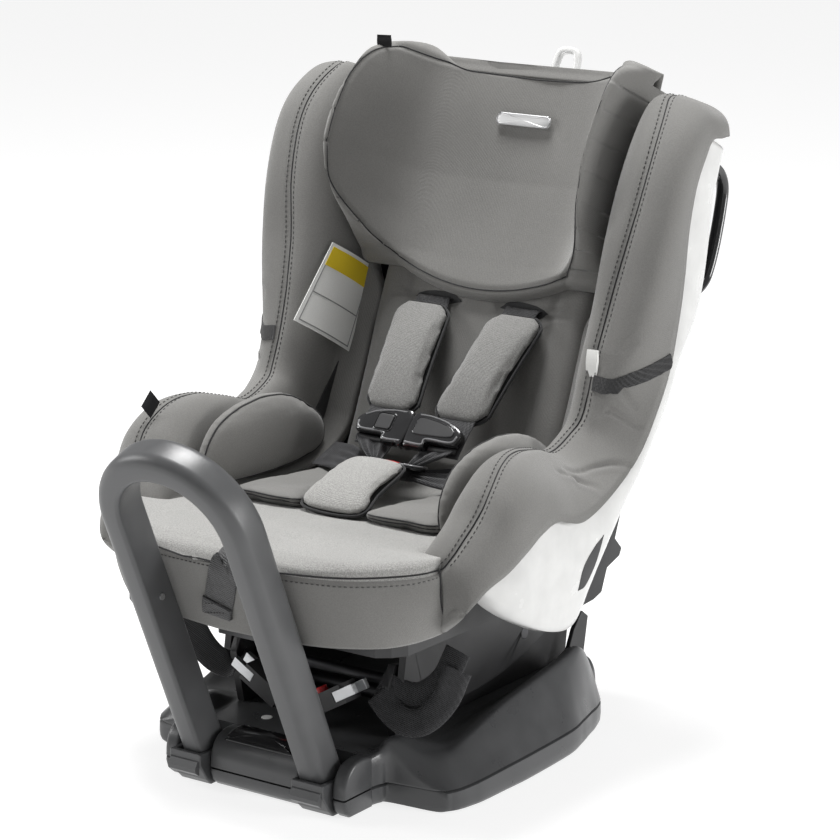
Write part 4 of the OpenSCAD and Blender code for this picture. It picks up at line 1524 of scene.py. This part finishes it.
def add_base():
    cover_rows, tray_rows = [], []
    for station in matched([((row[0],), *row[1:]) for row in BASE], BASE_STATIONS):
        y, half = base_section(station)
        foot_x, foot_z = half[-1]
        low = [(foot_x - 3, foot_z - 1), (foot_x * 0.5, foot_z - 1), (0, foot_z - 1)]
        right = np.vstack([half, low])
        both = np.vstack([right, right[::-1][1:-1] * vec(-1, 1)])
        cover_rows.append([(x, y, z) for x, z in both])
        top = foot_z - BASE_GROOVE
        tray = [(0, top), (foot_x * 0.5, top), (foot_x - 2.5, top), (foot_x + 0.3, top - 1.5),
                (foot_x + 0.6, top * 0.5), (foot_x, 5), (foot_x - 2, 1.5), (foot_x - 6, 0), (foot_x * 0.5, 0),
                (0, 0)]
        both = np.vstack([tray, np.array(tray)[::-1][1:-1] * vec(-1, 1)])
        tray_rows.append([(x, y, z) for x, z in both])
    finish_piece(loft("base_upper", cover_rows, ["charcoal"], sharp=55), "base", ["base_cover"])
    finish_piece(loft("base_lower", tray_rows, ["charcoal"], sharp=40), "base", ["base_tray"])


# Outline of the front cap from its top at the deck round its nose to its underside, as [y, z]
CAP_UPPER = [(-187, 48.5), (-196, 50.5), (-206, 50.5), (-216, 47.5), (-224, 40), (-228, 30), (-229, 19)]
CAP_LOWER = [(-228.6, 17), (-229, 14), (-226.5, 6), (-220, 0.5), (-187, 0.5)]


def add_cap(name, first, last, round_first, round_last, replaced=()):
    """A length of the cap from x first to x last, in two mouldings, its ends rounded by the given radii."""
    for part, profile in (("upper", CAP_UPPER), ("lower", CAP_LOWER)):
        outline = np.array(spline(profile, 40)) if part == "upper" else np.array(profile)
        inner = [(-187, outline[-1][1])] if part == "upper" else [(-187, 17)]
        outline = np.vstack([outline, inner])
        rows = []
        for x in np.concatenate([np.linspace(first, first + 4, 7), np.linspace(last - 4, last, 7)]):
            near = min((x - first) / max(round_first, 0.1), (last - x) / max(round_last, 0.1), 1)
            inset = (1 - math.sqrt(max(0.0, 1 - (1 - near) ** 2))) * 3.0
            centre = vec(-205, 25)
            away = outline - centre
            away /= np.linalg.norm(away, axis=1)[:, None]
            rows.append([(x, y, z) for y, z in outline - away * inset])
        piece = loft(name + "_" + part, rows, ["charcoal"], sharp=50)
        finish_piece(piece, "base", replaced if part == "upper" else ())


SOCKET_LIP = [(-240, 27), (-242.5, 26), (-246, 20), (-245.5, 16), (-240, 12)]


def add_front():
    add_cap("front_cap_middle", -51, 51, 3, 3, ["front_cap"])
    add_cap("front_cap_right", 89, 104, 3, 4, ["cap_ends"])
    add_cap("front_cap_left", -104, -89, 4, 3)
    for side in ("right", "left"):
        rows = []
        for x in np.linspace(54, 86, 12):
            rows.append(on_side([(x, y, z) for y, z in SOCKET_LIP], side))
        lip = loft("socket_lip_" + side, rows, ["bar"], sharp=30)
        finish_piece(lip, "base")


# ------------------------------------------------------------------ hard parts: CAD nodes with moulded edges

def soften(node, width, key, angle=28):
    """A CAD node with moulded, slightly rounded edges and its finish."""
    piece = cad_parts[node]
    piece.data.materials.clear()
    piece.data.materials.append(MATERIALS[key])
    if width:
        weld = piece.modifiers.new("weld", "WELD")
        weld.merge_threshold = 0.00002
        bevel = piece.modifiers.new("edges", "BEVEL")
        bevel.width = width * MM
        bevel.segments = 3
        bevel.limit_method = "ANGLE"
        bevel.angle_limit = math.radians(angle)
        bevel.harden_normals = True
    return piece


# CAD nodes that are kept: the width of their edges' rounding in millimetres, and their finish
SOFTENED = {
    "base_pads": (0.4, "rubber"), "base_screws": (0.3, "steel"), "bar_sockets": (1.5, "charcoal"),
    "recline_rails": (1.0, "dark"), "rear_tower": (1.0, "dark"), "cross_tubes": (0.3, "dark_steel"),
    "latch_housings": (1.5, "dark"), "latch_hooks": (0.8, "silver"), "latch_button_left": (1.0, "red"),
    "latch_button_right": (1.0, "red"), "bar_rivets": (0.3, "steel"), "seat_shell": (1.5, "dark"),
    "carriage_plates": (1.0, "dark"), "recline_axles": (0.5, "dark_steel"),
    "recline_handle": (3.0, "charcoal"), "guide_bushings": (0.8, "dark"), "adjuster_housing": (1.5, "dark"),
    "harness_release": (1.0, "silver"), "headrest_rods": (0.5, "steel"),
}


def finish_cad_nodes():
    for node, (width, key) in SOFTENED.items():
        soften(node, width, key)


# ------------------------------------------------------------------ the whole seat

add_camera()
add_light()
add_floor()
finish_cad_nodes()
for each_side in ("right", "left"):
    add_wing(each_side)
    add_side_shell(each_side)
    add_insert(each_side)
    add_hip_bolster(each_side)
    add_shoulder_pad(each_side)
    add_straps(each_side)
    add_grip(each_side)
add_label()
add_tags()
add_adjuster_tail(add_seat_cushion())
add_back_panel()
add_headrest()
add_crotch_pad()
add_chest_clip()
add_buckle()
add_badge()
add_handle()
add_bar()
add_base()
add_plate()
add_loops()
add_front()
